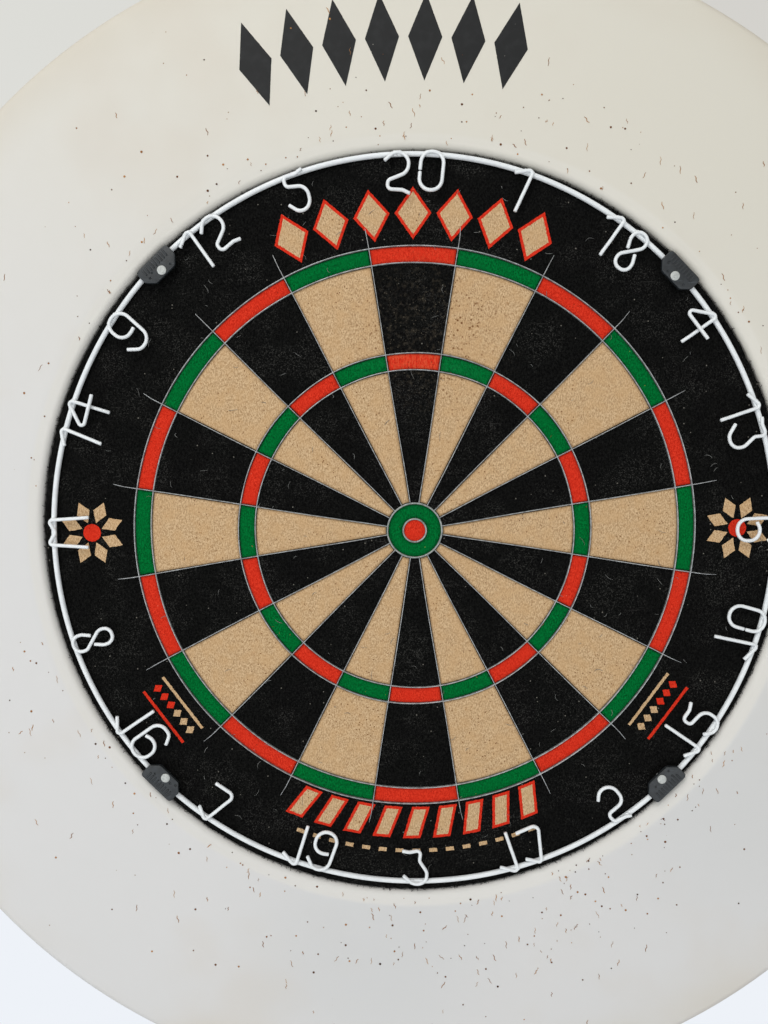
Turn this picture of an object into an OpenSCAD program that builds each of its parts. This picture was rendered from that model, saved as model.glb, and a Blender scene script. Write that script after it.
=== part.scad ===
// Bristle dartboard in a round foam surround, hung on a steel wall bracket.
// Millimetres. +Z is up, the face looks along -Y, the wall is the plane Y = 0,
// and the origin is on the board's centre line at the wall.
// Each piece is drawn lying down, with x to the right, y up the board and z out
// from the wall, and on_wall() stands it up.

/* [Board] */
// Width of the border, from the outer double line to the outside of the band
border_w = 54.5; // [53:0.5:58]
// Thickness of the pressed bristle
bristle_t = 25; // [22:0.5:30]
// Thickness of the wooden backing board
backing_t = 13; // [11:0.5:18]
// Gap between the wall and the backing board
wall_gap = 12; // [11.5:0.5:16]
// Thickness of the steel band
band_t = 0.8; // [0.5:0.1:1.2]
// Width of the steel band, front to back
band_w = 35; // [28:0.5:35.5]
// How far the band's front edge stays behind the face
band_inset = 0.8; // [0.3:0.1:1.5]
// Width of the slit where the band's two ends meet
band_slit = 0.5; // [0.2:0.1:2]
// Depth to which the bristle is dyed
dye_depth = 1; // [0.5:0.1:2]

/* [Scoring lines] */
// Radius of the outer double line
double_r = 171; // [165:0.5:175]
// Radius of the outer treble line
treble_r = 107.5; // [100:0.5:112]
// Distance between the two lines of a double or treble band
band_gap = 10.2; // [7:0.1:11]
// Radius of the outer bull
bull_r = 16.6; // [14:0.1:18]
// Radius of the inner bull
inner_bull_r = 7; // [5:0.05:8]

/* [Blades] */
// Thickness of the blades between the fields
blade_t = 0.8; // [0.5:0.1:1.2]
// Thickness of the two bull rings
bull_ring_t = 1.4; // [0.8:0.1:2]
// Depth of a blade in the bristle
blade_sunk = 5; // [3:0.5:10]
// Height of a blade in front of the face
blade_proud = 1; // [0.5:0.1:1.5]
// How far the radial blades run on past the outer double line
blade_over = 16; // [10:0.5:22]
// Length of the sloping tail at a radial blade's end
blade_tail = 4; // [2:0.5:8]
// Free play where two blades are slotted into each other
notch_play = 0.05; // [0.03:0.01:0.2]

/* [Number ring] */
// Distance from the outside of the band in to the middle of the ring's wire
ring_in = 4.9; // [4.5:0.1:5.4]
// Diameter of the ring's wire
ring_wire_d = 3.1; // [2.5:0.1:3.3]
// Diameter of the wire that the numerals are bent from
numeral_wire_d = 2.15; // [1.6:0.05:2.4]
// Height of a tall numeral between the middles of its wire
numeral_h = 25; // [22:0.5:27]
// How far the ring hangs above the board's centre
ring_up = 1.6; // [0:0.1:1.6]
// How far the ring sits left of the board's centre
ring_left = 0.5; // [0:0.1:0.5]
// Gap between the face and the ring
ring_gap = 0.3; // [0.1:0.1:0.5]
// Gap at the spots where numerals are tacked to the ring
tack_gap = 0.02; // [0.01:0.01:0.1]

/* [Ring clips] */
// Length of a clip along the ring
clip_w = 25; // [20:0.5:28]
// Width of a clip across the ring
clip_h = 12.8; // [11:0.1:13]
// Thickness of a clip's plate
clip_t = 2.2; // [1.5:0.1:3]
// Distance from the ring's wire in to the clip pins
pin_in = 4.9; // [4.8:0.1:5.8]
// Distance from a clip's inner edge to its pin
pin_edge = 3.2; // [3:0.1:4]
// Diameter of a pin's head
pin_head_d = 5.3; // [4.5:0.1:6]
// Thickness of a pin's head
pin_head_t = 1.2; // [0.8:0.1:2]
// Diameter of a pin in the clip
pin_neck_d = 2.4; // [2:0.1:2.6]
// Diameter of the shoulder that carries the clip
pin_shoulder_d = 3; // [2.8:0.1:3.2]
// Length of a pin in the bristle
pin_sunk = 12; // [8:0.5:18]
// Number of grip ribs on a clip
grip_count = 9; // [5:1:11]
// Height of the grip ribs
grip_t = 0.4; // [0.2:0.1:0.8]

/* [Surround] */
// Width of the foam surround, from its bore to its outer edge
surround_w = 129.1; // [100:0.1:134]
// Thickness of the surround
surround_t = 40; // [32:0.5:41]
// How far the surround's front stands out in front of the face
surround_proud = 3.4; // [0:0.1:3.5]
// Gap between the band and the surround's bore
surround_fit = 0.4; // [0.3:0.05:0.8]
// Rounding of the surround's outer front edge
surround_round = 6; // [6:0.5:14]
// Rounding of the surround's other edges
surround_lip = 5; // [2:0.5:5.5]

/* [Wall bracket] */
// Thickness of the bracket's sheet
sheet_t = 1.6; // [1.2:0.1:2]
// Width of the raised part that carries the screw
cradle_w = 46; // [40:1:54]
// Height of the bracket
bracket_h = 75; // [66:1:90]
// Width of a flange on each side
flange_w = 15; // [13:0.5:20]
// Distance from the wall to the front of the raised part
cradle_out = 8; // [7.6:0.1:8]
// Inner radius of the bends
bend_r = 1; // [0.5:0.1:1.5]
// Distance between the wall screw holes, up and down
hole_rise = 48; // [40:1:54]
// Radius of the wall screw holes
wall_hole_r = 2.5; // [2:0.1:3]
// Width of the slot that takes the hanging screw
slot_w = 6.6; // [6.5:0.1:7.2]

/* [Hanging screw] */
// Diameter of the hanging screw's shank
hang_d = 6; // [5:0.1:6]
// Diameter of its head
hang_head_d = 16; // [12:0.5:20]
// Thickness of its head
hang_head_t = 2.2; // [1.6:0.1:3]
// Gap between the head and the bracket's raised part
hang_play = 0.3; // [0.2:0.1:0.5]
// Length of the shank from head to tip
hang_len = 27; // [22:0.5:30]
// Diameter of the spacer round the shank
spacer_d = 25; // [18:0.5:32]
// Play in front of and behind the spacer
spacer_play = 0.1; // [0.05:0.05:0.3]

/* [Levelling wheels] */
// Distance of the wheels from the board's centre
wheel_at = 150; // [90:1:180]
// Diameter of a wheel
wheel_d = 40; // [32:1:50]
// Thickness of a wheel
wheel_t = 4.4; // [3.6:0.1:4.4]
// Number of grip hollows round a wheel
wheel_grips = 24; // [12:1:30]
// Thickness of the holder's back plate
holder_t = 2; // [1.5:0.1:2.2]
// Play between a wheel and its holder
wheel_play = 0.3; // [0.2:0.05:0.4]
// Diameter of the threaded stem
stem_d = 10.4; // [10:0.1:12]
// Width of the square tail that keeps the stem from turning
tail_w = 6.5; // [5:0.1:6.8]
// Diameter of the foot that meets the wall
foot_d = 22; // [16:0.5:28]
// Thickness of the foot
foot_t = 2.5; // [1.5:0.1:2.5]
// Radial play of the stem in the wheel's thread
stem_play = 0.05; // [0.03:0.01:0.1]
// Travel of the foot
foot_travel = 2.2; // [1:0.1:2.2]

/* [Print] */
// Thickness of the print on the surround
print_t = 0.2; // [0.1:0.05:0.4]
// Width of the red outline round the cream ornaments
outline_w = 1.7; // [1:0.1:2.5]

/* [Hidden] */
$fn = 96;

// The numbers clockwise from the top
DIAL = [20, 1, 18, 4, 13, 6, 10, 15, 2, 17, 3, 19, 7, 16, 8, 11, 14, 9, 12, 5];
CLIP_ANGLES = [133.7, 44.2, 224.4, 314.4];
CLIP_NAMES = ["clip_upper_left", "clip_upper_right", "clip_lower_left", "clip_lower_right"];
WHEEL_ANGLES = [90, 210, 330];
WHEEL_NAMES = ["top", "lower_left", "lower_right"];

// Heights of the layers, measured out from the wall
backing_z = wall_gap;
bristle_z = backing_z + backing_t;
face_z = bristle_z + bristle_t;
ring_z = face_z + ring_gap + ring_wire_d / 2;
numeral_z = ring_z + ring_wire_d / 2 + tack_gap + numeral_wire_d / 2;
clip_over_ring = 0.3;
clip_z = face_z + ring_gap + ring_wire_d + clip_over_ring;
surround_z = face_z + surround_proud - surround_t;
board_r = double_r + border_w;
disc_r = board_r - band_t;
bore_r = board_r + surround_fit;
surround_r = bore_r + surround_w;
ring_r = board_r - ring_in;
pin_r = ring_r - pin_in;
blade_reach = double_r + blade_over;
inner_double_r = double_r - band_gap;
inner_treble_r = treble_r - band_gap;
step = 360 / len(DIAL);
blade_h = blade_sunk + blade_proud;
slot_mid_z = face_z - blade_sunk + blade_h / 2;
cut = 1;

// Stand a piece that was drawn lying down up against the wall
module on_wall() {
    rotate([90, 0, 0])
        children();
}

// Turn children from the top of the dial to place k, counted clockwise
module at_place(k) {
    rotate([0, 0, -k * step])
        children();
}

module tube(r_out, r_in, h) {
    difference() {
        cylinder(r = r_out, h = h);
        translate([0, 0, -cut])
            cylinder(r = r_in, h = h + 2 * cut);
    }
}

// One sector of a ring, centred on the top of the dial
module sector(r_in, r_out, h) {
    rotate([0, 0, 90 - step / 2])
        rotate_extrude(angle = step)
            translate([r_in, 0])
                square([r_out - r_in, h]);
}

// Wall bracket
cradle_back = cradle_out - sheet_t;
hole_x = cradle_w / 2 + flange_w / 2;
seam = 0.01;

// Half of the bracket's bent section, seen from above
module bracket_half_section() {
    r_out = bend_r + sheet_t;
    side_x = cradle_w / 2;
    // Raised front
    translate([-seam, cradle_back])
        square([side_x - r_out + seam, sheet_t]);
    // Front bend
    translate([side_x - r_out, cradle_out - r_out])
        quarter_ring(r_out, bend_r, 0);
    // Side
    translate([side_x - sheet_t, r_out])
        square([sheet_t, cradle_out - 2 * r_out]);
    // Foot bend
    translate([side_x - sheet_t + r_out, r_out])
        quarter_ring(r_out, bend_r, 180);
    // Flange
    translate([side_x - sheet_t + r_out, 0])
        square([flange_w - r_out + sheet_t, sheet_t]);
}

module quarter_ring(r_out, r_in, turn) {
    rotate([0, 0, turn])
        intersection() {
            difference() {
                circle(r = r_out);
                circle(r = r_in);
            }
            square([r_out, r_out]);
        }
}

module wall_bracket() {
    color([0.72, 0.73, 0.74])
        on_wall()
            difference() {
                translate([0, bracket_h / 2, 0])
                    rotate([90, 0, 0])
                        linear_extrude(bracket_h)
                            union() {
                                bracket_half_section();
                                mirror([1, 0, 0])
                                    bracket_half_section();
                            }
                for (sx = [-1, 1])
                    for (sy = [-1, 1])
                        translate([sx * hole_x, sy * hole_rise / 2, -cut])
                            cylinder(r = wall_hole_r, h = sheet_t + 2 * cut);
                hanging_slot(slot_w / 2);
            }
}

// The slot, open at the top, that the hanging screw drops into
module hanging_slot(r) {
    lead_in = 2.8 * r;
    translate([0, 0, cradle_back - cut]) {
        cylinder(r = r, h = sheet_t + 2 * cut);
        translate([-r, 0, 0])
            cube([2 * r, bracket_h, sheet_t + 2 * cut]);
        // Lead-in at the top
        translate([0, bracket_h / 2 + r, 0])
            rotate([0, 0, 45])
                translate([-lead_in / 2, -lead_in / 2, 0])
                    cube([lead_in, lead_in, sheet_t + 2 * cut]);
    }
}

spacer_bore_play = 0.1;
module hanger_spacer() {
    color([0.2, 0.2, 0.21])
        on_wall()
            translate([0, 0, cradle_out + spacer_play])
                tube(spacer_d / 2, hang_d / 2 + spacer_bore_play,
                     wall_gap - cradle_out - 2 * spacer_play);
}

// Hanging screw: round head with a cross recess, shank and pointed tip
hang_head_z = cradle_back - hang_play - hang_head_t;
hang_shank_z = hang_head_z + hang_head_t;
hang_tip_len = 6;
hang_tip_r = 0.5;
hang_edge = 0.8;
hang_edge_in = 1;
hang_recess_len = 7;
hang_recess_w = 1.2;
hang_recess_deep = 1.2;

module hanging_screw() {
    color([0.75, 0.75, 0.76])
        on_wall()
            difference() {
                union() {
                    translate([0, 0, hang_head_z])
                        cylinder(r1 = hang_head_d / 2 - hang_edge_in, r2 = hang_head_d / 2, h = hang_edge);
                    translate([0, 0, hang_head_z + hang_edge])
                        cylinder(d = hang_head_d, h = hang_head_t - hang_edge);
                    hanging_shank();
                }
                translate([0, 0, hang_head_z])
                    cross_recess(hang_recess_len, hang_recess_w, hang_recess_deep);
            }
}

module cross_recess(len, w, deep) {
    for (turn = [0, 90])
        rotate([0, 0, turn])
            translate([-len / 2, -w / 2, -cut])
                cube([len, w, deep + cut]);
}

module hanging_shank() {
    translate([0, 0, hang_shank_z])
        cylinder(r = hang_d / 2, h = hang_len - hang_tip_len);
    translate([0, 0, hang_shank_z + hang_len - hang_tip_len])
        cylinder(r1 = hang_d / 2, r2 = hang_tip_r, h = hang_tip_len);
}

// Turn children to each levelling wheel's place
module at_wheel(i) {
    rotate([0, 0, WHEEL_ANGLES[i]])
        translate([wheel_at, 0, 0])
            children();
}

// Backing board, with a blind hole for the tail of each foot
tail_hole_play = 0.4;
tail_hole_r = tail_w / 2 * sqrt(2) + tail_hole_play;
tail_hole_deep = 8.3;
module backing_board() {
    color([0.55, 0.42, 0.28])
        on_wall()
            difference() {
                translate([0, 0, backing_z])
                    cylinder(r = disc_r, h = backing_t);
                hanging_shank();
                for (i = [0:len(WHEEL_ANGLES) - 1])
                    at_wheel(i) {
                        translate([0, 0, backing_z - cut])
                            cylinder(r = tail_hole_r, h = cut + tail_hole_deep);
                        holder_screw_shanks();
                    }
            }
}

// Blades
blade_toe = 0.5;
module radial_blade_body(t, h) {
    r0 = bull_r + bull_ring_t / 2 + notch_play;
    translate([t / 2, 0, face_z - blade_sunk])
        rotate([0, -90, 0])
            linear_extrude(t)
                polygon([
                    [0, r0],
                    [0, blade_reach],
                    [blade_sunk - blade_toe, blade_reach],
                    [h, blade_reach - blade_tail],
                    [h, r0]
                ]);
}

module ring_blade_body(r, t, h) {
    translate([0, 0, face_z - blade_sunk])
        tube(r + t / 2, r - t / 2, h);
}

// Turn children to each line between two numbers
module at_lines() {
    for (k = [0:len(DIAL) - 1])
        rotate([0, 0, (k + 0.5) * step])
            children();
}

module radial_blades() {
    color([0.62, 0.63, 0.65])
        on_wall()
            difference() {
                at_lines()
                    radial_blade_body(blade_t, blade_h);
                for (r = [double_r, inner_double_r, treble_r, inner_treble_r])
                    translate([0, 0, face_z - blade_sunk - cut])
                        tube(r + blade_t / 2 + notch_play, r - blade_t / 2 - notch_play,
                             cut + blade_h / 2 + notch_play);
            }
}

module ring_blade(r) {
    color([0.62, 0.63, 0.65])
        on_wall()
            difference() {
                ring_blade_body(r, blade_t, blade_h);
                at_lines()
                    translate([-blade_t / 2 - notch_play, r - blade_t - cut, slot_mid_z])
                        cube([blade_t + 2 * notch_play, 2 * (blade_t + cut), blade_h]);
            }
}

module bull_ring(r) {
    color([0.8, 0.81, 0.82])
        on_wall()
            ring_blade_body(r, bull_ring_t, blade_h);
}

// Everything that the blades push aside in the bristle
module radial_slots() {
    at_lines()
        radial_blade_body(blade_t, blade_h);
}

module blade_slots() {
    radial_slots();
    for (r = [double_r, inner_double_r, treble_r, inner_treble_r])
        ring_blade_body(r, blade_t, blade_h);
    for (r = [bull_r, inner_bull_r])
        ring_blade_body(r, bull_ring_t, blade_h);
}

// Dyed fields
dye_z = face_z - dye_depth;

module cream_sectors() {
    for (k = [1:2:len(DIAL) - 1])
        at_place(k) {
            translate([0, 0, dye_z])
                sector(bull_r, inner_treble_r, dye_depth);
            translate([0, 0, dye_z])
                sector(treble_r, inner_double_r, dye_depth);
        }
}

// The double and treble beds of every other number, from place k
module scoring_beds(first) {
    for (k = [first:2:len(DIAL) - 1])
        at_place(k) {
            translate([0, 0, dye_z])
                sector(inner_treble_r, treble_r, dye_depth);
            translate([0, 0, dye_z])
                sector(inner_double_r, double_r, dye_depth);
        }
}

module cream_fields() {
    color([0.80, 0.70, 0.54])
        on_wall()
            difference() {
                cream_sectors();
                blade_slots();
            }
}

module red_fields() {
    color([0.78, 0.13, 0.10])
        on_wall()
            difference() {
                union() {
                    scoring_beds(0);
                    translate([0, 0, dye_z])
                        cylinder(r = inner_bull_r, h = dye_depth);
                }
                blade_slots();
            }
}

module green_fields() {
    color([0.0, 0.42, 0.20])
        on_wall()
            difference() {
                union() {
                    scoring_beds(1);
                    translate([0, 0, dye_z])
                        tube(bull_r, inner_bull_r, dye_depth);
                }
                blade_slots();
            }
}

// Space of all dyed fields, cut out of the black disc
module field_pockets() {
    translate([0, 0, dye_z]) {
        cylinder(r = bull_r, h = dye_depth + cut);
        tube(double_r, inner_double_r, dye_depth + cut);
        tube(treble_r, inner_treble_r, dye_depth + cut);
    }
    for (k = [1:2:len(DIAL) - 1])
        at_place(k)
            translate([0, 0, dye_z])
                sector(bull_r - blade_t, double_r - blade_t, dye_depth + cut);
}

// Border ornaments: plain geometric figures
lozenge_out = 19;
lozenge_count = 7;
lozenge_angle = 7.5;
lozenge_w = 22;
lozenge_h = 31;
bar_out = 12;
bar_count = 9;
bar_angle = 5.6;
bar_w = 11;
bar_h = 20;
bar_lean = 6;
dash_out = 30;
dash_count = 15;
dash_angle = 3;
dash_w = 5;
dash_h = 2.4;
rosette_out = 26;
rosette_r = 20;
rosette_petals = 8;
petal_at = rosette_r * 0.66;
petal_w = rosette_r * 0.42;
petal_len = rosette_r * 0.68;
stripe_angle = 126.3;
stripe_len = 40;
stripe_w = 1.8;
cream_stripe_out = 7;
bead_out = 14.5;
bead_count = 6;
bead_pitch = 6.5;
bead_w = bead_pitch * 0.8;
red_stripe_out = 22;

module lozenge(w, h) {
    polygon([[-w / 2, 0], [0, -h / 2], [w / 2, 0], [0, h / 2]]);
}

// A lozenge shrunk so that its sides move in by d
module inner_lozenge(w, h, d) {
    k = 1 - 2 * d * norm([w, h]) / (w * h);
    lozenge(w * k, h * k);
}

module leaning_bar(w, h, lean) {
    polygon([
        [-w / 2 - lean / 2, -h / 2],
        [w / 2 - lean / 2, -h / 2],
        [w / 2 + lean / 2, h / 2],
        [-w / 2 + lean / 2, h / 2]
    ]);
}

module inner_bar(d) {
    leaning_bar(bar_w - 2 * d * norm([bar_h, bar_lean]) / bar_h, bar_h - 2 * d,
                bar_lean * (1 - 2 * d / bar_h));
}

// Copies in a row on an arc about the centre, the middle one turned by base
module along_arc(r, count, angle, base) {
    for (i = [0:count - 1])
        rotate([0, 0, base + (i - (count - 1) / 2) * angle])
            translate([0, r, 0])
                children();
}

module along_bottom(r, count, angle) {
    along_arc(r, count, angle, 180)
        rotate([0, 0, 180])
            children();
}

module on_both_sides() {
    for (side = [-1, 1])
        translate([side * (double_r + rosette_out), 0, 0])
            children();
}

// The stripes left and right of the bottom, with x along the rim
module at_stripes() {
    for (side = [-1, 1])
        rotate([0, 0, side * stripe_angle])
            scale([side, 1, 1])
                children();
}

module bead(i, h) {
    translate([(i - (bead_count - 1) / 2) * bead_pitch, double_r + bead_out, 0])
        linear_extrude(h)
            lozenge(bead_w, bead_pitch);
}

module cream_ornaments(h) {
    along_arc(double_r + lozenge_out, lozenge_count, lozenge_angle, 0)
        linear_extrude(h)
            inner_lozenge(lozenge_w, lozenge_h, outline_w);
    along_bottom(double_r + bar_out, bar_count, bar_angle)
        linear_extrude(h)
            inner_bar(outline_w);
    along_bottom(double_r + dash_out, dash_count, dash_angle)
        translate([-dash_w / 2, -dash_h / 2, 0])
            cube([dash_w, dash_h, h]);
    on_both_sides()
        for (p = [0:rosette_petals - 1])
            rotate([0, 0, (p + 0.5) * 360 / rosette_petals])
                translate([0, petal_at, 0])
                    linear_extrude(h)
                        lozenge(petal_w, petal_len);
    at_stripes() {
        translate([-stripe_len / 2, double_r + cream_stripe_out, 0])
            cube([stripe_len, stripe_w, h]);
        for (i = [0:1:bead_count / 2 - 1])
            bead(i, h);
    }
}

module red_ornaments(h) {
    along_arc(double_r + lozenge_out, lozenge_count, lozenge_angle, 0)
        linear_extrude(h)
            difference() {
                lozenge(lozenge_w, lozenge_h);
                inner_lozenge(lozenge_w, lozenge_h, outline_w);
            }
    along_bottom(double_r + bar_out, bar_count, bar_angle)
        linear_extrude(h)
            difference() {
                inner_bar(0);
                inner_bar(outline_w);
            }
    on_both_sides()
        cylinder(r = rosette_r * 0.27, h = h);
    at_stripes() {
        translate([-stripe_len / 2, double_r + red_stripe_out, 0])
            cube([stripe_len, stripe_w, h]);
        for (i = [bead_count / 2:1:bead_count - 1])
            bead(i, h);
    }
}

// The radial blades run on through the ornaments
module border_print_cream() {
    color([0.80, 0.70, 0.54])
        on_wall()
            difference() {
                translate([0, 0, dye_z])
                    cream_ornaments(dye_depth);
                radial_slots();
            }
}

module border_print_red() {
    color([0.78, 0.13, 0.10])
        on_wall()
            difference() {
                translate([0, 0, dye_z])
                    red_ornaments(dye_depth);
                radial_slots();
            }
}

module bristle_disc() {
    color([0.07, 0.07, 0.08])
        on_wall()
            difference() {
                translate([0, 0, bristle_z])
                    cylinder(r = disc_r, h = bristle_t);
                field_pockets();
                blade_slots();
                translate([0, 0, dye_z]) {
                    cream_ornaments(dye_depth + cut);
                    red_ornaments(dye_depth + cut);
                }
                hanging_shank();
                clip_pin_shanks();
            }
}

module steel_band() {
    color([0.45, 0.46, 0.47])
        on_wall()
            difference() {
                translate([0, 0, face_z - band_inset - band_w])
                    tube(board_r, disc_r, band_w);
                translate([-band_slit / 2, -board_r - cut, backing_z])
                    cube([band_slit, 2 * cut + band_t, face_z]);
            }
}

// Bent wire: points are [x, y, bend radius, rise], the first and last without a bend
wire_sides = 8;
bend_facet = 16;
function along(a, b) = (b - a) / norm(b - a);
function flat(p) = [p[0], p[1]];
function side_of(a, b) = a[0] * b[1] - a[1] * b[0] < 0 ? -1 : 1;
function turn_of(a, b) = acos(max(-1, min(1, a * b)));
function take_up(pts, i) =
    i <= 0 || i >= len(pts) - 1 ? 0 :
    pts[i][2] * tan(turn_of(along(flat(pts[i - 1]), flat(pts[i])),
                            along(flat(pts[i]), flat(pts[i + 1]))) / 2);

// Middle of the bend at point i, and the heading with which it starts
function bend_start(pts, i) = flat(pts[i]) - along(flat(pts[i - 1]), flat(pts[i])) * take_up(pts, i);
function heading(u) = atan2(u[1], u[0]);

// Stations along a bent wire: [x, y, z, heading]
function stations(pts) = concat(
    [station(flat(pts[0]), lift(pts[0]), heading(along(flat(pts[0]), flat(pts[1]))))],
    [for (i = [1:len(pts) - 2]) each bend_stations(pts, i)],
    [station(flat(pts[len(pts) - 1]), lift(pts[len(pts) - 1]),
             heading(along(flat(pts[len(pts) - 2]), flat(pts[len(pts) - 1]))))]
);
function station(p, z, a) = [p[0], p[1], z, a];
function lift(p) = len(p) > 3 ? p[3] : 0;
function bend_stations(pts, i) =
    let (
        u = along(flat(pts[i - 1]), flat(pts[i])),
        v = along(flat(pts[i]), flat(pts[i + 1])),
        s = side_of(u, v),
        turn = turn_of(u, v),
        r = pts[i][2],
        centre = bend_start(pts, i) + s * r * [-u[1], u[0]],
        n = max(2, ceil(turn / bend_facet))
    )
    [for (j = [0:n])
        let (a = heading(u) + s * turn * j / n)
        station(centre + s * r * [sin(a), -cos(a)], lift(pts[i]), a)];

// Round wire swept along the stations, with a flat cut at each end
module wire(pts, d) {
    st = stations(pts);
    n = len(st);
    m = wire_sides;
    polyhedron(
        points = [for (q = st) for (j = [0:m - 1])
            let (a = 360 * j / m)
            [q[0] - sin(q[3]) * cos(a) * d / 2, q[1] + cos(q[3]) * cos(a) * d / 2, q[2] + sin(a) * d / 2]],
        faces = concat(
            [[for (j = [0:m - 1]) j]],
            [for (i = [0:n - 2]) for (j = [0:m - 1])
                each let (k = (j + 1) % m)
                [[i * m + j, (i + 1) * m + j, i * m + k], [i * m + k, (i + 1) * m + j, (i + 1) * m + k]]],
            [[for (j = [m - 1:-1:0]) (n - 1) * m + j]]
        )
    );
}

// Numerals, in the proportions of a 25 mm tall figure, with y up from the foot
ONE_TOP = 10;
ONE_FOOT = 11;
EIGHT_BACK = 12;
ELEVEN = 13;
TWO_FOOT = 14;

// Where each figure's wire runs; the four crosses over itself
function figure(n) =
    n == 0 ? [[-7, 11, 0], [-7, 22.8, 6.7], [7, 22.8, 6.7], [7, 0, 6.7], [-7, 0, 6.7], [-7, 10.6, 0]] :
    n == 2 ? [[-8.3, 16.3, 0], [-3.5, 21.6, 6.2], [5.5, 21.6, 6.2], [5.5, 11.4, 6], [-5, 5.6, 2.5],
              [-5, 0.7, 2.5], [4, 1.3, 4], [8.1, 0, 0]] :
    n == 3 ? [[-8.9, 21.6, 0], [-4.6, 21.1, 4], [2.2, 22.7, 2.2], [1.6, 15.4, 3.5], [6.4, 8.2, 5.6],
              [6.4, 0, 5.6], [-2, 0, 5.2], [-7.8, 5, 0]] :
    n == 4 ? [[10.2, 11.4, 0, 2.3], [-11.7, 11.6, 1.8], [3.2, 25.6, 1.8], [3.2, 0, 0, -2.4]] :
    n == 5 ? [[5.6, 22.6, 0], [1.2, 20.5, 4], [-6.4, 20.2, 2.6], [-6.2, 14.6, 2.4], [6.9, 13, 6],
              [6.9, 0, 6], [-1.5, 0, 5], [-6.3, 4.2, 0]] :
    n == 6 ? [[7.2, 19.4, 0], [3.5, 25, 4.6], [-7.1, 25, 6.5], [-7.1, 0, 6.5], [6.6, 0, 6.5],
              [6.6, 14.2, 6.3], [-1.5, 14.2, 4.5], [-4.6, 12.6, 0]] :
    n == 7 ? [[-9.1, 21.6, 0], [5.8, 22.4, 3.2], [-0.3, -1.2, 1.6], [-8.8, 4, 0]] :
    n == 8 ? [[3.3, 12.9, 0], [5.5, 18.2, 4.8], [5.5, 25.1, 4.8], [-4.9, 25.1, 4.8], [-4.9, 17.8, 4.8],
              [5.3, 7.2, 4.8], [5.3, 0, 4.8], [-5.4, 0, 4.8], [-5.4, 6.8, 5], [-3.1, 11.9, 0]] :
    n == 9 ? [[3.4, 11.3, 0], [0.6, 10.8, 4], [-6.9, 10.8, 6], [-6.9, 24.9, 6.5], [6.9, 24.9, 6.5],
              [5.8, 0, 6.5], [-3.6, 0, 5], [-8.9, 6, 0]] :
    n == ONE_TOP ? [[-8.4, 20.4, 0], [0, 26.6, 1.6], [0, 0, 0]] :
    n == ONE_FOOT ? [[0, 25.2, 0], [0, -1.6, 1.6], [-9, 5, 0]] :
    n == EIGHT_BACK ? [for (p = figure(8)) [-p[0], p[1], p[2]]] :
    n == ELEVEN ? [[-8.7, 0.4, 0], [-7.3, 26, 1.6], [0, 20.9, 3], [7.3, 26, 1.6], [9.2, 0, 0]] :
    [[-7.8, 19.2, 0], [-3.9, 23.2, 6.2], [5.6, 23.2, 6.4], [5.6, 9.6, 5.3], [-8.4, 8.9, 2.5],
     [-8, 3.2, 2.3], [0.2, 1.4, 4], [3, 0, 0]];

function figure_h(n) =
    n == 0 || n == 3 ? 22.7 :
    n == 2 ? 21.6 :
    n == 4 ? 23.2 :
    n == 5 || n == 7 ? 22.4 :
    n == TWO_FOOT ? 23.2 : 25;

// For each place of the dial: figure, distance along the ring, rise over the wire, lean,
// and its width and height as shares of the drawn ones
function figures(n) =
    n == 20 ? [[2, -10, 0.7, -8, 1.03, 1.04], [0, 10.2, 2.5, -6, 0.96, 0.97]] :
    n == 1 ? [[ONE_TOP, -0.3, 1.7, -7.7, 1.14, 0.99]] :
    n == 18 ? [[ONE_TOP, -5.2, 0.9, 0, 1.14, 0.98], [EIGHT_BACK, 8.4, 1.1, -1.5, 0.93, 0.97]] :
    n == 4 ? [[4, 1.9, -1.5, -1, 0.99, 1.02]] :
    n == 13 ? [[ONE_TOP, -3.5, -0.2, 0.5, 1.14, 0.97], [3, 8.7, -0.9, -7.5, 1.01, 0.98]] :
    n == 6 ? [[6, 2.9, 0.3, 2, 0.97, 0.95]] :
    n == 10 ? [[ONE_FOOT, -5, 0.5, 5.6, 1.11, 1.03], [0, 9, 0.8, 2, 0.95, 0.97]] :
    n == 15 ? [[ONE_FOOT, -8.2, 1.8, 1.2, 1.01, 1.02], [5, 6.3, 2.6, 0, 0.96, 0.99]] :
    n == 2 ? [[TWO_FOOT, -0.3, 2.9, 2.2, 0.95, 1.04]] :
    n == 17 ? [[ONE_FOOT, -5.4, 1.8, 1, 1.1, 0.98], [7, 10.1, 0.8, 2, 0.98, 1]] :
    n == 3 ? [[3, 0, 1.3, -2.5, 1.01, 0.95]] :
    n == 19 ? [[ONE_FOOT, -6.4, 1, 0, 1.08, 1], [9, 7.6, 0, 0, 0.96, 0.98]] :
    n == 7 ? [[7, 0.7, 0.7, -2, 0.95, 1]] :
    n == 16 ? [[ONE_FOOT, -5.2, 0.3, -2.2, 1.08, 1.01], [6, 9.6, 0.2, -1, 0.97, 0.98]] :
    n == 8 ? [[8, 2.7, -0.7, 0, 0.93, 0.98]] :
    n == 11 ? [[ELEVEN, -1.3, 1.7, -1, 1.01, 0.94]] :
    n == 14 ? [[ONE_TOP, -8.3, -0.4, -4.8, 1.1, 0.98], [4, 7.8, -0.9, 0, 1, 1]] :
    n == 9 ? [[9, -4.2, -0.5, -4, 0.99, 1]] :
    n == 12 ? [[ONE_TOP, -3.4, 1, -1, 1.14, 0.99], [2, 10.8, 0.8, 0.5, 1.01, 1]] :
    [[5, -4.3, 1.8, -5.8, 0.95, 1.04]];

// Numerals hang from the ring by their heads, those on the lower part by their feet
first_foot_down = 6;
last_foot_down = 14;
drawn_h = 25;

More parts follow.
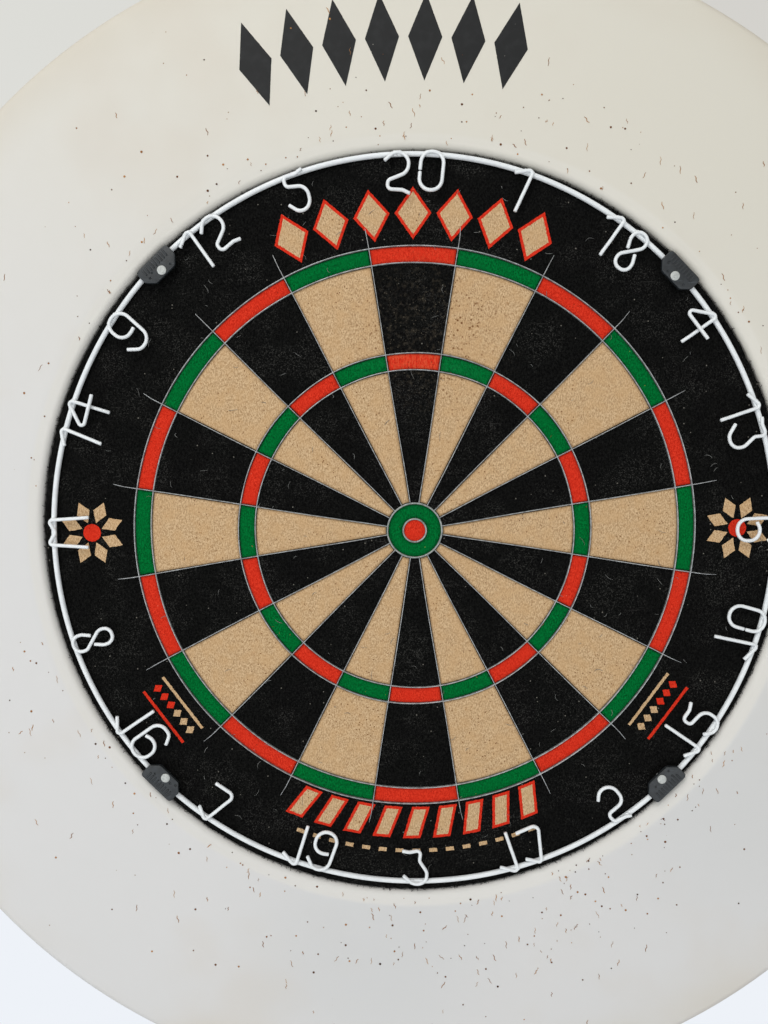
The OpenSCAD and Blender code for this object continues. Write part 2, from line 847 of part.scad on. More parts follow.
// A figure's points at a share of its drawn width and height, its bends at the lesser share
function resized(n, wide, tall) =
    [for (p = figure(n)) concat(
        [p[0] * wide, p[1] * tall, p[2] * min(wide, tall)],
        [for (i = [3:1:len(p) - 1]) p[i]]
    )];

module numeral(n) {
    k = search(n, DIAL)[0];
    foot_down = k >= first_foot_down && k <= last_foot_down;
    size = numeral_h / drawn_h;
    color([0.93, 0.93, 0.92])
        on_wall()
            translate([-ring_left, ring_up, numeral_z])
                at_place(k)
                    rotate([0, 0, foot_down ? 180 : 0])
                        for (f = figures(n))
                            translate([
                                f[1] * size,
                                foot_down ? -ring_r - f[2] : ring_r + f[2] - figure_h(f[0]) * size,
                                0
                            ])
                                rotate([0, 0, f[3]])
                                    wire([for (p = resized(f[0], f[4], f[5])) p * size], numeral_wire_d);
}

module number_ring_wire() {
    color([0.93, 0.93, 0.92])
        on_wall()
            translate([-ring_left, ring_up, ring_z])
                rotate_extrude()
                    translate([ring_r, 0])
                        circle(d = ring_wire_d);
}

// Clips, drawn with the pin at the origin and the ring in the +y direction
clip_chamfer = 4.9;
clip_corner = 1.5;
grip_pitch = 2.1;
grip_w = 0.9;
grip_len = 4.4;
grip_edge = 1;
clip_bore_play = 0.1;

module clip_plate() {
    top = clip_h - pin_edge;
    w = clip_w / 2;
    difference() {
        union() {
            linear_extrude(clip_t)
                polygon([
                    [-w, top - clip_corner],
                    [-w, -pin_edge + clip_chamfer],
                    [-w + clip_chamfer, -pin_edge],
                    [w - clip_chamfer, -pin_edge],
                    [w, -pin_edge + clip_chamfer],
                    [w, top - clip_corner],
                    [w - clip_corner, top],
                    [-w + clip_corner, top]
                ]);
            for (s = [-1, 1])
                translate([s * (w - clip_corner), top - clip_corner, 0])
                    cylinder(r = clip_corner, h = clip_t);
            for (i = [0:grip_count - 1])
                translate([(i - (grip_count - 1) / 2) * grip_pitch - grip_w / 2,
                           top - grip_len - grip_edge, clip_t - seam])
                    cube([grip_w, grip_len, grip_t + seam]);
        }
        translate([0, 0, -cut])
            cylinder(d = pin_neck_d + clip_bore_play, h = clip_t + 2 * cut);
    }
}

module clip(i) {
    color([0.17, 0.18, 0.19])
        on_wall()
            rotate([0, 0, CLIP_ANGLES[i] - 90])
                translate([0, pin_r, clip_z])
                    clip_plate();
}

module at_pins() {
    for (a = CLIP_ANGLES)
        rotate([0, 0, a - 90])
            translate([0, pin_r, 0])
                children();
}

pin_shank_r = 1;
module clip_pin_shanks() {
    at_pins()
        translate([0, 0, face_z - pin_sunk])
            cylinder(r = pin_shank_r, h = pin_sunk + cut);
}

// Play of a clip between its pin's shoulder and head
pin_play = 0.05;
pin_edge_t = 0.4;
pin_edge_in = 0.6;

module clip_pins() {
    neck_z = clip_z - pin_play;
    head_z = clip_z + clip_t + 2 * pin_play;
    color([0.82, 0.82, 0.80])
        on_wall()
            at_pins() {
                translate([0, 0, face_z - pin_sunk])
                    cylinder(r = pin_shank_r, h = pin_sunk);
                translate([0, 0, face_z])
                    cylinder(d = pin_shoulder_d, h = neck_z - face_z);
                translate([0, 0, neck_z])
                    cylinder(d = pin_neck_d, h = head_z - neck_z);
                translate([0, 0, head_z])
                    cylinder(d = pin_head_d, h = pin_head_t - pin_edge_t);
                translate([0, 0, head_z + pin_head_t - pin_edge_t])
                    cylinder(d1 = pin_head_d, d2 = pin_head_d - 2 * pin_edge_in, h = pin_edge_t);
            }
}

// Foam surround
module surround_section() {
    big = surround_round;
    lip = surround_lip;
    top = surround_z + surround_t;
    translate([bore_r + lip, surround_z])
        square([surround_r - bore_r - lip - big, surround_t]);
    translate([bore_r, surround_z + lip])
        square([lip, surround_t - 2 * lip]);
    translate([surround_r - big, surround_z + lip])
        square([big, surround_t - lip - big]);
    translate([surround_r - big, surround_z])
        square([big - lip, lip]);
    for (z = [surround_z + lip, top - lip])
        translate([bore_r + lip, z])
            circle(r = lip);
    translate([surround_r - lip, surround_z + lip])
        circle(r = lip);
    translate([surround_r - big, top - big])
        circle(r = big);
}

module foam_surround() {
    color([0.90, 0.88, 0.83])
        on_wall()
            rotate_extrude()
                surround_section();
}

// Row of plain lozenges on the upper part of the surround
mark_out = -0.5;
mark_r = (bore_r + surround_r) / 2 + mark_out;
mark_count = 7;
mark_angle = 5;
mark_mid_angle = 3.5;
mark_w = 20;
mark_h = 50;
module surround_print() {
    color([0.13, 0.13, 0.13])
        on_wall()
            translate([0, 0, face_z + surround_proud])
                along_arc(mark_r, mark_count, mark_angle, mark_mid_angle)
                    linear_extrude(print_t)
                        lozenge(mark_w, mark_h);
}

// Levelling wheels: a holder on the back, a captive threaded wheel and its foot
claw_t = 2.2;
claw_gap = 0.1;
claw_in_r = wheel_d / 2 + wheel_play + claw_gap;
claw_inset = 0.3;
holder_r = claw_in_r + claw_t + claw_inset;
claw_lip = 0.9;
claw_lip_t = 1.2;
claw_span = 34;
claw_root = 0.5;
ear_r = 4.5;
ear_out = 2.7;
ear_at = holder_r + ear_out;
tail_slide_play = 0.4;
wheel_z = backing_z - holder_t - wheel_play - wheel_t;
claw_z = wheel_z - wheel_play - claw_lip_t;
foot_z = 0.3;
foot_shoulder_play = 0.1;
foot_end_play = 0.5;
screw_head_r = 2.8;
screw_head_in = 0.7;
screw_head_t = 1.6;
screw_r = 1.5;
screw_len = 8;
screw_play = 0.1;
recess_len = 3;
recess_w = 0.6;
recess_deep = 0.8;
grip_hollow_r = 1.7;
grip_hollow_out = 0.9;

// Turn children to each screw of a holder
module at_ears() {
    for (a = [60:120:300])
        rotate([0, 0, a])
            translate([ear_at, 0, 0])
                children();
}

module holder_claws() {
    for (a = [0:120:240])
        rotate([0, 0, a - claw_span / 2])
            rotate_extrude(angle = claw_span) {
                translate([claw_in_r, claw_z])
                    square([claw_t, backing_z - claw_z - claw_root]);
                translate([claw_in_r - claw_lip, claw_z])
                    square([claw_lip + claw_t / 2, claw_lip_t]);
            }
}

module wheel_holder(i) {
    square_hole = tail_w + tail_slide_play;
    color([0.12, 0.12, 0.13])
        on_wall()
            at_wheel(i)
                difference() {
                    union() {
                        translate([0, 0, backing_z - holder_t])
                            cylinder(r = holder_r, h = holder_t);
                        at_ears()
                            translate([0, 0, backing_z - holder_t])
                                cylinder(r = ear_r, h = holder_t);
                        holder_claws();
                    }
                    translate([-square_hole / 2, -square_hole / 2, backing_z - holder_t - cut])
                        cube([square_hole, square_hole, holder_t + 2 * cut]);
                    at_ears()
                        translate([0, 0, backing_z - holder_t - cut])
                            cylinder(r = screw_r + screw_play, h = holder_t + 2 * cut);
                }
}

module levelling_wheel(i) {
    color([0.16, 0.16, 0.17])
        on_wall()
            at_wheel(i)
                translate([0, 0, wheel_z])
                    difference() {
                        cylinder(d = wheel_d, h = wheel_t);
                        translate([0, 0, -cut])
                            cylinder(r = stem_d / 2 + stem_play, h = wheel_t + 2 * cut);
                        for (g = [0:wheel_grips - 1])
                            rotate([0, 0, g * 360 / wheel_grips])
                                translate([wheel_d / 2 + grip_hollow_out, 0, -cut])
                                    cylinder(r = grip_hollow_r, h = wheel_t + 2 * cut, $fn = 32);
                    }
}

// The foot with its threaded stem, and the square tail that slides in the holder
module levelling_foot(i) {
    stem_top = backing_z - holder_t - foot_travel - foot_shoulder_play;
    tail_top = backing_z + tail_hole_deep - foot_travel - foot_end_play;
    color([0.25, 0.25, 0.26])
        on_wall()
            at_wheel(i) {
                translate([0, 0, foot_z])
                    cylinder(d = foot_d, h = foot_t);
                translate([0, 0, foot_z + foot_t])
                    cylinder(d = stem_d, h = stem_top - foot_z - foot_t);
                translate([-tail_w / 2, -tail_w / 2, stem_top])
                    cube([tail_w, tail_w, tail_top - stem_top]);
            }
}

module holder_screw_shanks() {
    at_ears()
        translate([0, 0, backing_z - holder_t])
            cylinder(r = screw_r, h = holder_t + screw_len);
}

module wheel_screws() {
    head_z = backing_z - holder_t - screw_head_t;
    color([0.75, 0.75, 0.76])
        on_wall()
            for (i = [0:len(WHEEL_ANGLES) - 1])
                at_wheel(i)
                    difference() {
                        union() {
                            holder_screw_shanks();
                            at_ears()
                                translate([0, 0, head_z])
                                    cylinder(r1 = screw_head_r - screw_head_in, r2 = screw_head_r,
                                             h = screw_head_t);
                        }
                        at_ears()
                            translate([0, 0, head_z])
                                cross_recess(recess_len, recess_w, recess_deep);
                    }
}

wall_bracket();
hanger_spacer();
hanging_screw();
backing_board();
bristle_disc();
cream_fields();
red_fields();
green_fields();
border_print_cream();
border_print_red();
steel_band();
radial_blades();
ring_blade(double_r);  // outer_double_blade
ring_blade(inner_double_r);  // inner_double_blade
ring_blade(treble_r);  // outer_treble_blade
ring_blade(inner_treble_r);  // inner_treble_blade
bull_ring(bull_r);  // outer_bull_ring
bull_ring(inner_bull_r);  // inner_bull_ring
number_ring_wire();
for (n = DIAL)
    numeral(n);
for (i = [0:3])
    clip(i);
clip_pins();
foam_surround();
surround_print();
for (i = [0:2])
    wheel_holder(i);
for (i = [0:2])
    levelling_wheel(i);
for (i = [0:2])
    levelling_foot(i);
wheel_screws();
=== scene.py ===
# Looks of the bristle dartboard in its foam surround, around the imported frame
import math
import random

import bmesh
import bpy
from mathutils import Matrix, Vector, geometry, noise


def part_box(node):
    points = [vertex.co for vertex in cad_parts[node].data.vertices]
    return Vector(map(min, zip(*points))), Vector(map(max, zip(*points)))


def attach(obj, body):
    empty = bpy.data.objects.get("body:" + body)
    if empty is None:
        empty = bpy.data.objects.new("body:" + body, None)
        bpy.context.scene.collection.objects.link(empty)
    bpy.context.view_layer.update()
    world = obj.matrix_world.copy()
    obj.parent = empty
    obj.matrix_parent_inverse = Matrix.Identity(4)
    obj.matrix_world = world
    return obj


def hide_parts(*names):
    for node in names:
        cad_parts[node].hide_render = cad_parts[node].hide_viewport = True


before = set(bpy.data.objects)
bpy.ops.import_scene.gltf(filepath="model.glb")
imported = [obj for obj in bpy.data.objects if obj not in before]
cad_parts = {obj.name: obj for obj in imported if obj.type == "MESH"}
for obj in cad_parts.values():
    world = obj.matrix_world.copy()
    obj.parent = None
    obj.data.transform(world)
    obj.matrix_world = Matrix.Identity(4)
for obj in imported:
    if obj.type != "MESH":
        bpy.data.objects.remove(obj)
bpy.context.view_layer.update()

# Drawing coordinates are millimetres: x right, y up the board, d out from the wall.
# Angles are degrees, from the right and counterclockwise
MM = 0.001


def box_mm(node):
    """Lowest and highest corner of a CAD node as (x, y, d), in millimetres"""
    low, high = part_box(node)
    return (low[0] / MM, low[2] / MM, -high[1] / MM), (high[0] / MM, high[2] / MM, -low[1] / MM)


def outer_r(node):
    """Outer radius of a round node"""
    return box_mm(node)[1][0]


# Driving sizes, from the frame where it has them
BRISTLE_BACK, FACE = (corner[2] for corner in box_mm("bristle_disc"))
BOARD_R = outer_r("steel_band")
DISC_R = outer_r("bristle_disc")
CAD_BLADE_T = 0.8
DOUBLE_R, INNER_DOUBLE_R, TREBLE_R, INNER_TREBLE_R = (
    outer_r(line + "_blade") - CAD_BLADE_T / 2
    for line in ("outer_double", "inner_double", "outer_treble", "inner_treble"))
BLADE_FOOT, BLADE_TOP = (corner[2] for corner in box_mm("outer_double_blade"))
BLADE_REACH = DOUBLE_R + 16
CAD_BULL_RING_T = 1.4
BULL_R = outer_r("outer_bull_ring") - CAD_BULL_RING_T / 2
INNER_BULL_R = outer_r("inner_bull_ring") - CAD_BULL_RING_T / 2
BULL_WIRE_R = 0.6
DYE_DEPTH = FACE - box_mm("cream_fields")[0][2]
POCKET = FACE - DYE_DEPTH
SURROUND_R = outer_r("foam_surround")
SURROUND_BACK, SURROUND_FRONT = (corner[2] for corner in box_mm("foam_surround"))
BORE_R = BOARD_R + 0.4
RING_LOW, RING_HIGH = box_mm("number_ring_wire")
RING_WIRE_R = (RING_HIGH[2] - RING_LOW[2]) / 2
RING_X, RING_Y, RING_D = ((low + high) / 2 for low, high in zip(RING_LOW, RING_HIGH))
RING_R = (RING_HIGH[0] - RING_LOW[0]) / 2 - RING_WIRE_R
NUMERAL_WIRE_R = 1.075
CLIP_BACK = box_mm("clip_upper_left")[0][2]
CLIP_ANGLES = {
    "clip_upper_left": 133.7,
    "clip_upper_right": 44.2,
    "clip_lower_left": 224.4,
    "clip_lower_right": 314.4,
}
PIN_R = RING_R - 4.9
DIAL = [20, 1, 18, 4, 13, 6, 10, 15, 2, 17, 3, 19, 7, 16, 8, 11, 14, 9, 12, 5]
STEP = 360 / len(DIAL)


def cosd(a):
    return math.cos(math.radians(a))


def sind(a):
    return math.sin(math.radians(a))


def polar(r, a):
    return r * cosd(a), r * sind(a)


def circle(r, count):
    return [polar(r, 360 * i / count) for i in range(count)]


def turn_xy(x, y, a):
    """A point turned about the origin"""
    c, s = cosd(a), sind(a)
    return x * c - y * s, x * s + y * c


def fillet(r, angles):
    """Steps in and up along a rounded edge, from 0 at its side to 90 degrees at its face"""
    return [(r * (1 - cosd(t)), r * sind(t)) for t in angles]


def mix(a, b, t):
    return a + (b - a) * t


def ease(low, high, v):
    """Smooth step from 0 at low to 1 at high"""
    t = min(1.0, max(0.0, (v - low) / (high - low)))
    return t * t * (3 - 2 * t)


def grain(x, y, scale, seed=0.0):
    """Even noise from -1 to 1, with features of about the scale in millimetres"""
    return noise.noise(Vector((x / scale, y / scale, seed)))


def srgb(r, g, b):
    """A colour as seen, 0 to 255, as the linear values that shaders take"""
    def linear(v):
        v /= 255
        return v / 12.92 if v <= 0.04045 else ((v + 0.055) / 1.055) ** 2.4
    return (linear(r), linear(g), linear(b), 1.0)


def place_in_scene(name, data):
    """A new object of the scene"""
    obj = bpy.data.objects.new(name, data)
    bpy.context.scene.collection.objects.link(obj)
    return obj


# Camera, matched to the photo
CAMERA_AT = (-0.018636, -0.51838, 0.038594)
CAMERA_DOWN = 3.324
CAMERA_ROLL = -0.433
CAMERA_LENS = 27.035
CAMERA_SENSOR = 36


def add_camera():
    data = bpy.data.cameras.new("camera")
    data.sensor_fit = "VERTICAL"
    data.sensor_height = CAMERA_SENSOR
    data.lens = CAMERA_LENS
    data.clip_start = 0.01
    camera = place_in_scene("camera", data)
    tilt = Matrix.Rotation(math.radians(90 - CAMERA_DOWN), 4, "X")
    roll = Matrix.Rotation(math.radians(CAMERA_ROLL), 4, "Z")
    camera.matrix_world = Matrix.Translation(CAMERA_AT) @ tilt @ roll
    bpy.context.scene.camera = camera


# Node materials
def plug(tree, socket, value):
    """Set a socket to a value, or link it to the socket that feeds it"""
    if isinstance(value, bpy.types.NodeSocket):
        tree.links.new(value, socket)
    else:
        socket.default_value = value


def add_node(tree, kind, inputs, **settings):
    node = tree.nodes.new("ShaderNode" + kind)
    for key, value in settings.items():
        setattr(node, key, value)
    for key, value in inputs.items():
        plug(tree, node.inputs[key], value)
    return node


class Fields:
    """Procedural fields of a node tree, over object or world coordinates"""

    def __init__(self, tree, coordinates):
        self.tree = tree
        tree.nodes.clear()
        self.place = self.field("TexCoord", {}, coordinates)

    def field(self, kind, inputs, output=0, **settings):
        """One output of a new node"""
        return add_node(self.tree, kind, inputs, **settings).outputs[output]

    def math(self, operation, a, b=0.0):
        return self.field("Math", {0: a, 1: b}, operation=operation)

    def times(self, a, b):
        return self.math("MULTIPLY", a, b)

    def vector_math(self, operation, a, b, output=0):
        return self.field("VectorMath", {0: a, 1: b}, output, operation=operation)

    def ramp(self, value, low, high, to_low=0.0, to_high=1.0):
        """value from low..high as a smooth field from to_low to to_high"""
        limits = {"From Min": low, "From Max": high, "To Min": to_low, "To Max": to_high}
        return self.field("MapRange", {"Value": value, **limits}, "Result",
                          interpolation_type="SMOOTHSTEP")

    def blend(self, factor, a, b):
        """Colour a where the factor is 0 and b where it is 1. Each is a socket, or red, green
        and blue as seen, 0 to 255"""
        a, b = (srgb(*c) if isinstance(c, tuple) else c for c in (a, b))
        return self.field("Mix", {0: factor, 6: a, 7: b}, 2, data_type="RGBA")

    def noise(self, size, detail=2.0, rough=0.5, place=None):
        """Noise with features of about size millimetres"""
        return self.field("TexNoise", {
            "Vector": place or self.place, "Scale": 1 / (size * MM), "Detail": detail,
            "Roughness": rough,
        }, "Fac")

    def streaks(self, turn, along, across, detail=1.0, rough=0.5):
        """Noise drawn out in the face's plane; along and across are features per metre"""
        drawn = self.field("Mapping", {
            "Vector": self.place, "Rotation": (0.0, math.radians(turn), 0.0),
            "Scale": (along, across, across),
        })
        return self.noise(1 / MM, detail, rough, drawn)

    def specks(self, cell, reach, share, seed=0.0):
        """Round specks, one at most in each cell; share of the cells that have one"""
        shifted = self.vector_math("ADD", self.place, (seed, seed, seed))
        cells = add_node(self.tree, "TexVoronoi", {"Vector": shifted, "Scale": 1 / (cell * MM)})
        near = self.ramp(cells.outputs["Distance"], reach * 0.55, reach, 1.0, 0.0)
        draw = self.field("SeparateColor", {0: cells.outputs["Color"]})
        return self.times(near, self.math("LESS_THAN", draw, share))

    def zone(self, x, z, inner, outer):
        """1 within the inner distance of a point of the face and 0 beyond the outer one; metres"""
        flat = self.vector_math("MULTIPLY", self.place, (1.0, 0.0, 1.0))
        far = self.vector_math("DISTANCE", flat, (x, 0.0, z), "Value")
        return self.ramp(far, inner, outer, 1.0, 0.0)

    def played(self):
        """How worn the face is: most of all about the treble of the 20"""
        return self.zone(0.010, 0.118, 0.018, 0.062)


class Paint(Fields):
    """One material: a Principled shader, its colour in layers, and its relief"""

    def __init__(self, name, roughness=0.5, metallic=0.0, specular=0.5, coat=0.0):
        self.material = bpy.data.materials.new(name)
        self.material.use_nodes = True
        super().__init__(self.material.node_tree, "Object")
        self.shader = add_node(self.tree, "BsdfPrincipled", {
            "Roughness": roughness, "Metallic": metallic,
            "Specular IOR Level": specular, "Coat Weight": coat,
        })
        add_node(self.tree, "OutputMaterial", {0: self.shader.outputs[0]})
        self.relief = {}

    def ground(self, factor, a, b):
        """The first layer of the colour, from a to b with the factor"""
        self.tone = self.blend(factor, a, b)

    def layer(self, factor, colour):
        """A colour over those that are there, as dense as the factor"""
        self.tone = self.blend(factor, self.tone, colour)

    def vary_roughness(self, size, detail, low, high):
        rough = self.ramp(self.noise(size, detail), 0.3, 0.7, low, high)
        plug(self.tree, self.shader.inputs["Roughness"], rough)

    def bump(self, height, depth, strength):
        """Relief from a height field, over the relief already there; depth in millimetres"""
        self.relief = {"Normal": self.field("Bump", {
            "Height": height, "Distance": depth * MM, "Strength": strength, **self.relief,
        })}

    def done(self):
        for name, value in {"Base Color": self.tone, **self.relief}.items():
            plug(self.tree, self.shader.inputs[name], value)
        return self.material


def felted(name, streak, fine_size, fine_detail, fine_share):
    """Paint of pressed fibre, and the height field of its fibre ends"""
    p = Paint(name, roughness=0.95, specular=0.04)
    fine = p.noise(fine_size, fine_detail, 0.65)
    felt = p.math("ADD", p.times(fine, fine_share), p.times(p.streaks(*streak), 1 - fine_share))
    return p, felt


def sisal(name, colour, dark, light, edge, fleck, fleck_share, pit, worn, worn_share):
    """Pressed and dyed fibre: fine grain of fibre ends, broad blotches, small flecks, painted shade
    and dirt darkening its edge along the blades, and pits, streaks and lumps where it is played
    most"""
    p, felt = felted(name, (8, 1500, 620), 0.75, 2.0, 0.5)
    played = p.played()
    p.ground(p.ramp(felt, 0.38, 0.62), dark, light)
    p.layer(p.ramp(p.noise(8, 3.0), 0.38, 0.66, 0.0, 0.5), colour)
    p.layer(p.specks(3.1, 0.12, fleck_share), fleck)
    patchy = p.math("MAXIMUM", p.ramp(p.noise(26), 0.42, 0.62), played)
    p.layer(p.times(p.specks(2.3, 0.22, 0.6, 9.3), patchy), pit)
    holes = p.times(p.specks(2.6, 0.32, 0.75, 2.9), p.ramp(p.noise(7, 3.0, 0.7), 0.34, 0.52))
    p.layer(p.times(holes, played), pit)
    streaks = p.ramp(p.streaks(90, 900, 260, 2.0), 0.40, 0.62)
    p.layer(p.times(p.times(streaks, played), worn_share), worn)
    # Painted shade and dirt: the fibre darkens towards the blades and wires, where it dips to them
    blade_shade = p.field("Attribute", {}, "Fac", attribute_name="edge")
    p.layer(p.times(blade_shade, 0.5), edge)
    p.bump(felt, 0.25, 0.6)
    p.bump(p.times(p.noise(2.4, 3.0, 0.65), played), 0.9, 0.6)
    return p.done()


def sisal_black():
    """The same fibre dyed black, with dust, scuffs and light fibre ends in patches"""
    p, felt = felted("sisal_black", (20, 900, 500), 0.8, 3.0, 0.6)
    played = p.played()
    dusty = p.ramp(p.noise(20, 3.0), 0.40, 0.66, 0.12, 1.0)
    p.ground(p.ramp(felt, 0.38, 0.66), (5, 5, 5), (21, 21, 20))
    p.layer(p.times(dusty, p.ramp(p.noise(0.75, 1.0), 0.54, 0.70, 0.0, 0.5)), (70, 69, 66))
    clods = p.ramp(p.noise(2.6, 5.0, 0.72), 0.50, 0.70, 0.0, 0.5)
    p.layer(p.times(clods, played), (74, 67, 57))
    p.layer(p.times(p.specks(1.9, 0.22, 0.7, 6.1), played), (78, 72, 62))
    scratches = p.ramp(p.streaks(38, 70, 1100, 2.0), 0.64, 0.74, 0.0, 0.5)
    p.layer(p.times(scratches, dusty), (66, 65, 62))
    p.layer(p.specks(4.4, 0.11, 0.2), (112, 108, 100))
    p.layer(p.times(dusty, p.specks(2.3, 0.14, 0.4, 3.7)), (66, 64, 60))
    p.bump(felt, 0.35, 0.8)
    return p.done()


def foam():
    """Moulded foam: warm above and at the rim and lip, painted shadow in grey below the board and
    at its lower right, with faint specks and smears
    """
    p = Paint("surround_foam", roughness=0.62, specular=0.3)
    axes = add_node(p.tree, "SeparateXYZ", {0: p.place}).outputs
    across, up = axes[0], axes[2]
    radius = p.math("SQRT", p.math("ADD", p.times(across, across), p.times(up, up)))
    drift = p.math("ADD", up, p.times(across, 0.55))
    p.ground(p.ramp(drift, -0.16, 0.33), (217, 215, 213), (218, 213, 200))
    rim = p.times(p.ramp(radius, 0.318, 0.358), p.ramp(p.noise(120), 0.40, 0.60))
    p.layer(p.times(rim, 0.6), (208, 199, 182))
    p.layer(p.ramp(p.noise(90, 3.0), 0.52, 0.76, 0.0, 0.3), (209, 198, 183))
    # Painted shadow: two soft grey patches on the foam past the lip, below the board and to its
    # lower right
    painted_shadow_below = p.math("MAXIMUM", p.zone(-0.03, -0.25, 0.02, 0.11), p.zone(0.19, -0.15, 0.02, 0.13))
    past_lip = p.ramp(radius, 0.2335, 0.2365)
    p.layer(p.times(p.times(painted_shadow_below, past_lip), 0.5), (206, 206, 205))
    p.layer(p.times(p.math("SUBTRACT", 1.0, past_lip), 0.5), (223, 219, 210))
    p.layer(p.specks(11.0, 0.045, 0.22), (150, 126, 100))
    p.vary_roughness(14, 3.0, 0.56, 0.70)
    p.bump(p.noise(0.9), 0.05, 0.35)
    p.bump(p.noise(9), 0.12, 0.4)
    return p.done()


def mottled(name, a, b, size, detail, spread=None, **look):
    """Paint of two colours mottled by noise; spread is how far apart they are kept"""
    p = Paint(name, **look)
    mottle = p.noise(size, detail)
    p.ground(p.ramp(mottle, *spread) if spread else mottle, a, b)
    return p


def speckled(name, a, b, mottle, specks, speck_colour, relief_size, relief, **look):
    """Mottled colour with specks and fine relief"""
    p = mottled(name, a, b, *mottle, **look)
    p.layer(p.specks(*specks), speck_colour)
    p.bump(p.noise(relief_size), *relief)
    return p.done()


def steel(name, colour, dull, roughness, brushed, metallic=1.0):
    p = mottled(name, colour, dull, 3.0, 3.0, (0.35, 0.7), roughness=roughness, metallic=metallic)
    p.vary_roughness(1.6, 3.0, roughness - 0.08, roughness + 0.12)
    p.bump(p.streaks(0, 60, 2500), 0.02, brushed)
    return p.done()


def clip_plastic():
    """Dark plastic with light scuffs"""
    p = mottled("clip_plastic", (31, 34, 36), (40, 44, 47), 2.4, 3.0, (0.35, 0.7),
                roughness=0.42, specular=0.4)
    p.layer(p.ramp(p.streaks(52, 90, 900, 2.0), 0.64, 0.74, 0.0, 0.4), (88, 94, 101))
    p.layer(p.specks(3.2, 0.12, 0.2), (18, 19, 20))
    p.bump(p.noise(0.7), 0.05, 0.5)
    return p.done()


def moulded_black():
    p = mottled("black_plastic", (24, 24, 25), (38, 38, 40), 4, 3.0, specular=0.45)
    p.vary_roughness(2, 2.0, 0.42, 0.58)
    p.bump(p.noise(0.4), 0.03, 0.5)
    return p.done()


def fibre_board():
    """Pressed wood fibre, flat chips in mixed browns"""
    p = Paint("backing_wood", roughness=0.8, specular=0.25)
    chips = p.streaks(12, 160, 520, 3.0, 0.6)
    p.ground(p.ramp(chips, 0.33, 0.68), (139, 103, 68), (186, 150, 108))
    p.layer(p.specks(2.6, 0.2, 0.25), (110, 78, 50))
    p.layer(p.specks(3.7, 0.18, 0.2, 5.1), (206, 176, 136))
    p.bump(chips, 0.15, 0.5)
    return p.done()


# Each sisal's fourth colour is the painted shade and dirt at its edges along the blades and wires
SISAL_CREAM = sisal("sisal_cream", (198, 161, 117), (170, 137, 100), (215, 184, 144), (112, 88, 62),
                    (118, 80, 46), 0.28, (112, 72, 38), (178, 140, 100), 0.2)
SISAL_RED = sisal("sisal_red", (209, 47, 28), (186, 36, 20), (226, 60, 38), (96, 24, 16),
                  (226, 112, 88), 0.06, (150, 42, 26), (226, 92, 58), 0.65)
SISAL_GREEN = sisal("sisal_green", (0, 98, 43), (0, 76, 31), (0, 116, 52), (2, 44, 24),
                    (128, 142, 62), 0.03, (2, 62, 32), (24, 124, 66), 0.35)
SISAL_BLACK = sisal_black()
FOAM = foam()
WHITE_WIRE = speckled("white_wire", (234, 237, 238), (224, 227, 229), (5, 3.0, (0.4, 0.75)),
                      (5.5, 0.10, 0.20), (92, 88, 84), 0.8, (0.05, 0.4), roughness=0.36, coat=0.15)
INK = speckled("surround_ink", (17, 18, 19), (30, 31, 32), (6, 4.0, (0.4, 0.8)),
               (6.0, 0.06, 0.3), (150, 147, 140), 0.9, (0.03, 0.4), roughness=0.6, specular=0.25)
PIN_METAL = speckled("pin_metal", (190, 192, 188), (168, 171, 168), (1.5, 3.0, (0.35, 0.7)),
                     (1.9, 0.14, 0.2), (120, 118, 112), 0.6, (0.03, 0.5), metallic=0.1)
BLADE_STEEL = steel("blade_steel", (166, 168, 168), (128, 128, 128), 0.45, 0.3, 0.6)
BULL_STEEL = steel("bull_ring_steel", (146, 150, 147), (112, 117, 114), 0.42, 0.2, 0.6)
BAND_STEEL = steel("band_steel", (58, 59, 61), (40, 40, 41), 0.5, 0.3, 0.6)
ZINC = steel("zinc_steel", (196, 198, 198), (160, 162, 160), 0.38, 0.4)
CLIP_PLASTIC = clip_plastic()
BLACK_PLASTIC = moulded_black()
BACKING_WOOD = fibre_board()


def matt(name, a, b, size, spread=None):
    return mottled(name, a, b, size, 2.0, spread, roughness=0.9, specular=0.2).done()


DRIED_FIBRE = matt("dried_fibre", (126, 78, 36), (178, 130, 78), 9, (0.35, 0.65))
DARK_DIRT = matt("dark_dirt", (58, 36, 22), (112, 70, 36), 9, (0.35, 0.65))
LINT = matt("lint", (104, 104, 102), (150, 150, 146), 6)


# Mesh building
class Shell:
    """Points in drawing millimetres and faces of one piece, made of closed shells"""

    def __init__(self):
        self.points = []
        self.faces = []
        self.edge = []

    def add(self, points, faces, edge=None):
        """One closed shell; edge is how near each point is to a field's edge, from 0 to 1"""
        base = len(self.points)
        self.points.extend(points)
        self.edge.extend(edge or [0.0] * len(points))
        self.faces.extend([base + i for i in face] for face in faces)

    def piece(self, name, body, slot, material, replaced=(), sharp=40):
        """The visible piece, with edges sharp from that angle on"""
        mesh = bpy.data.meshes.new(name)
        mesh.from_pydata([(x * MM, -d * MM, y * MM) for x, y, d in self.points], [], self.faces)
        work = bmesh.new()
        work.from_mesh(mesh)
        bmesh.ops.recalc_face_normals(work, faces=work.faces)
        work.to_mesh(mesh)
        work.free()
        mesh.polygons.foreach_set("use_smooth", [True] * len(mesh.polygons))
        if any(self.edge):
            mesh.attributes.new("edge", "FLOAT", "POINT").data.foreach_set("value", self.edge)
        mesh.set_sharp_from_angle(angle=math.radians(sharp))
        mesh.materials.append(material)
        obj = place_in_scene(name, mesh)
        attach(obj, body)
        if replaced:
            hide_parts(*replaced)
        return obj


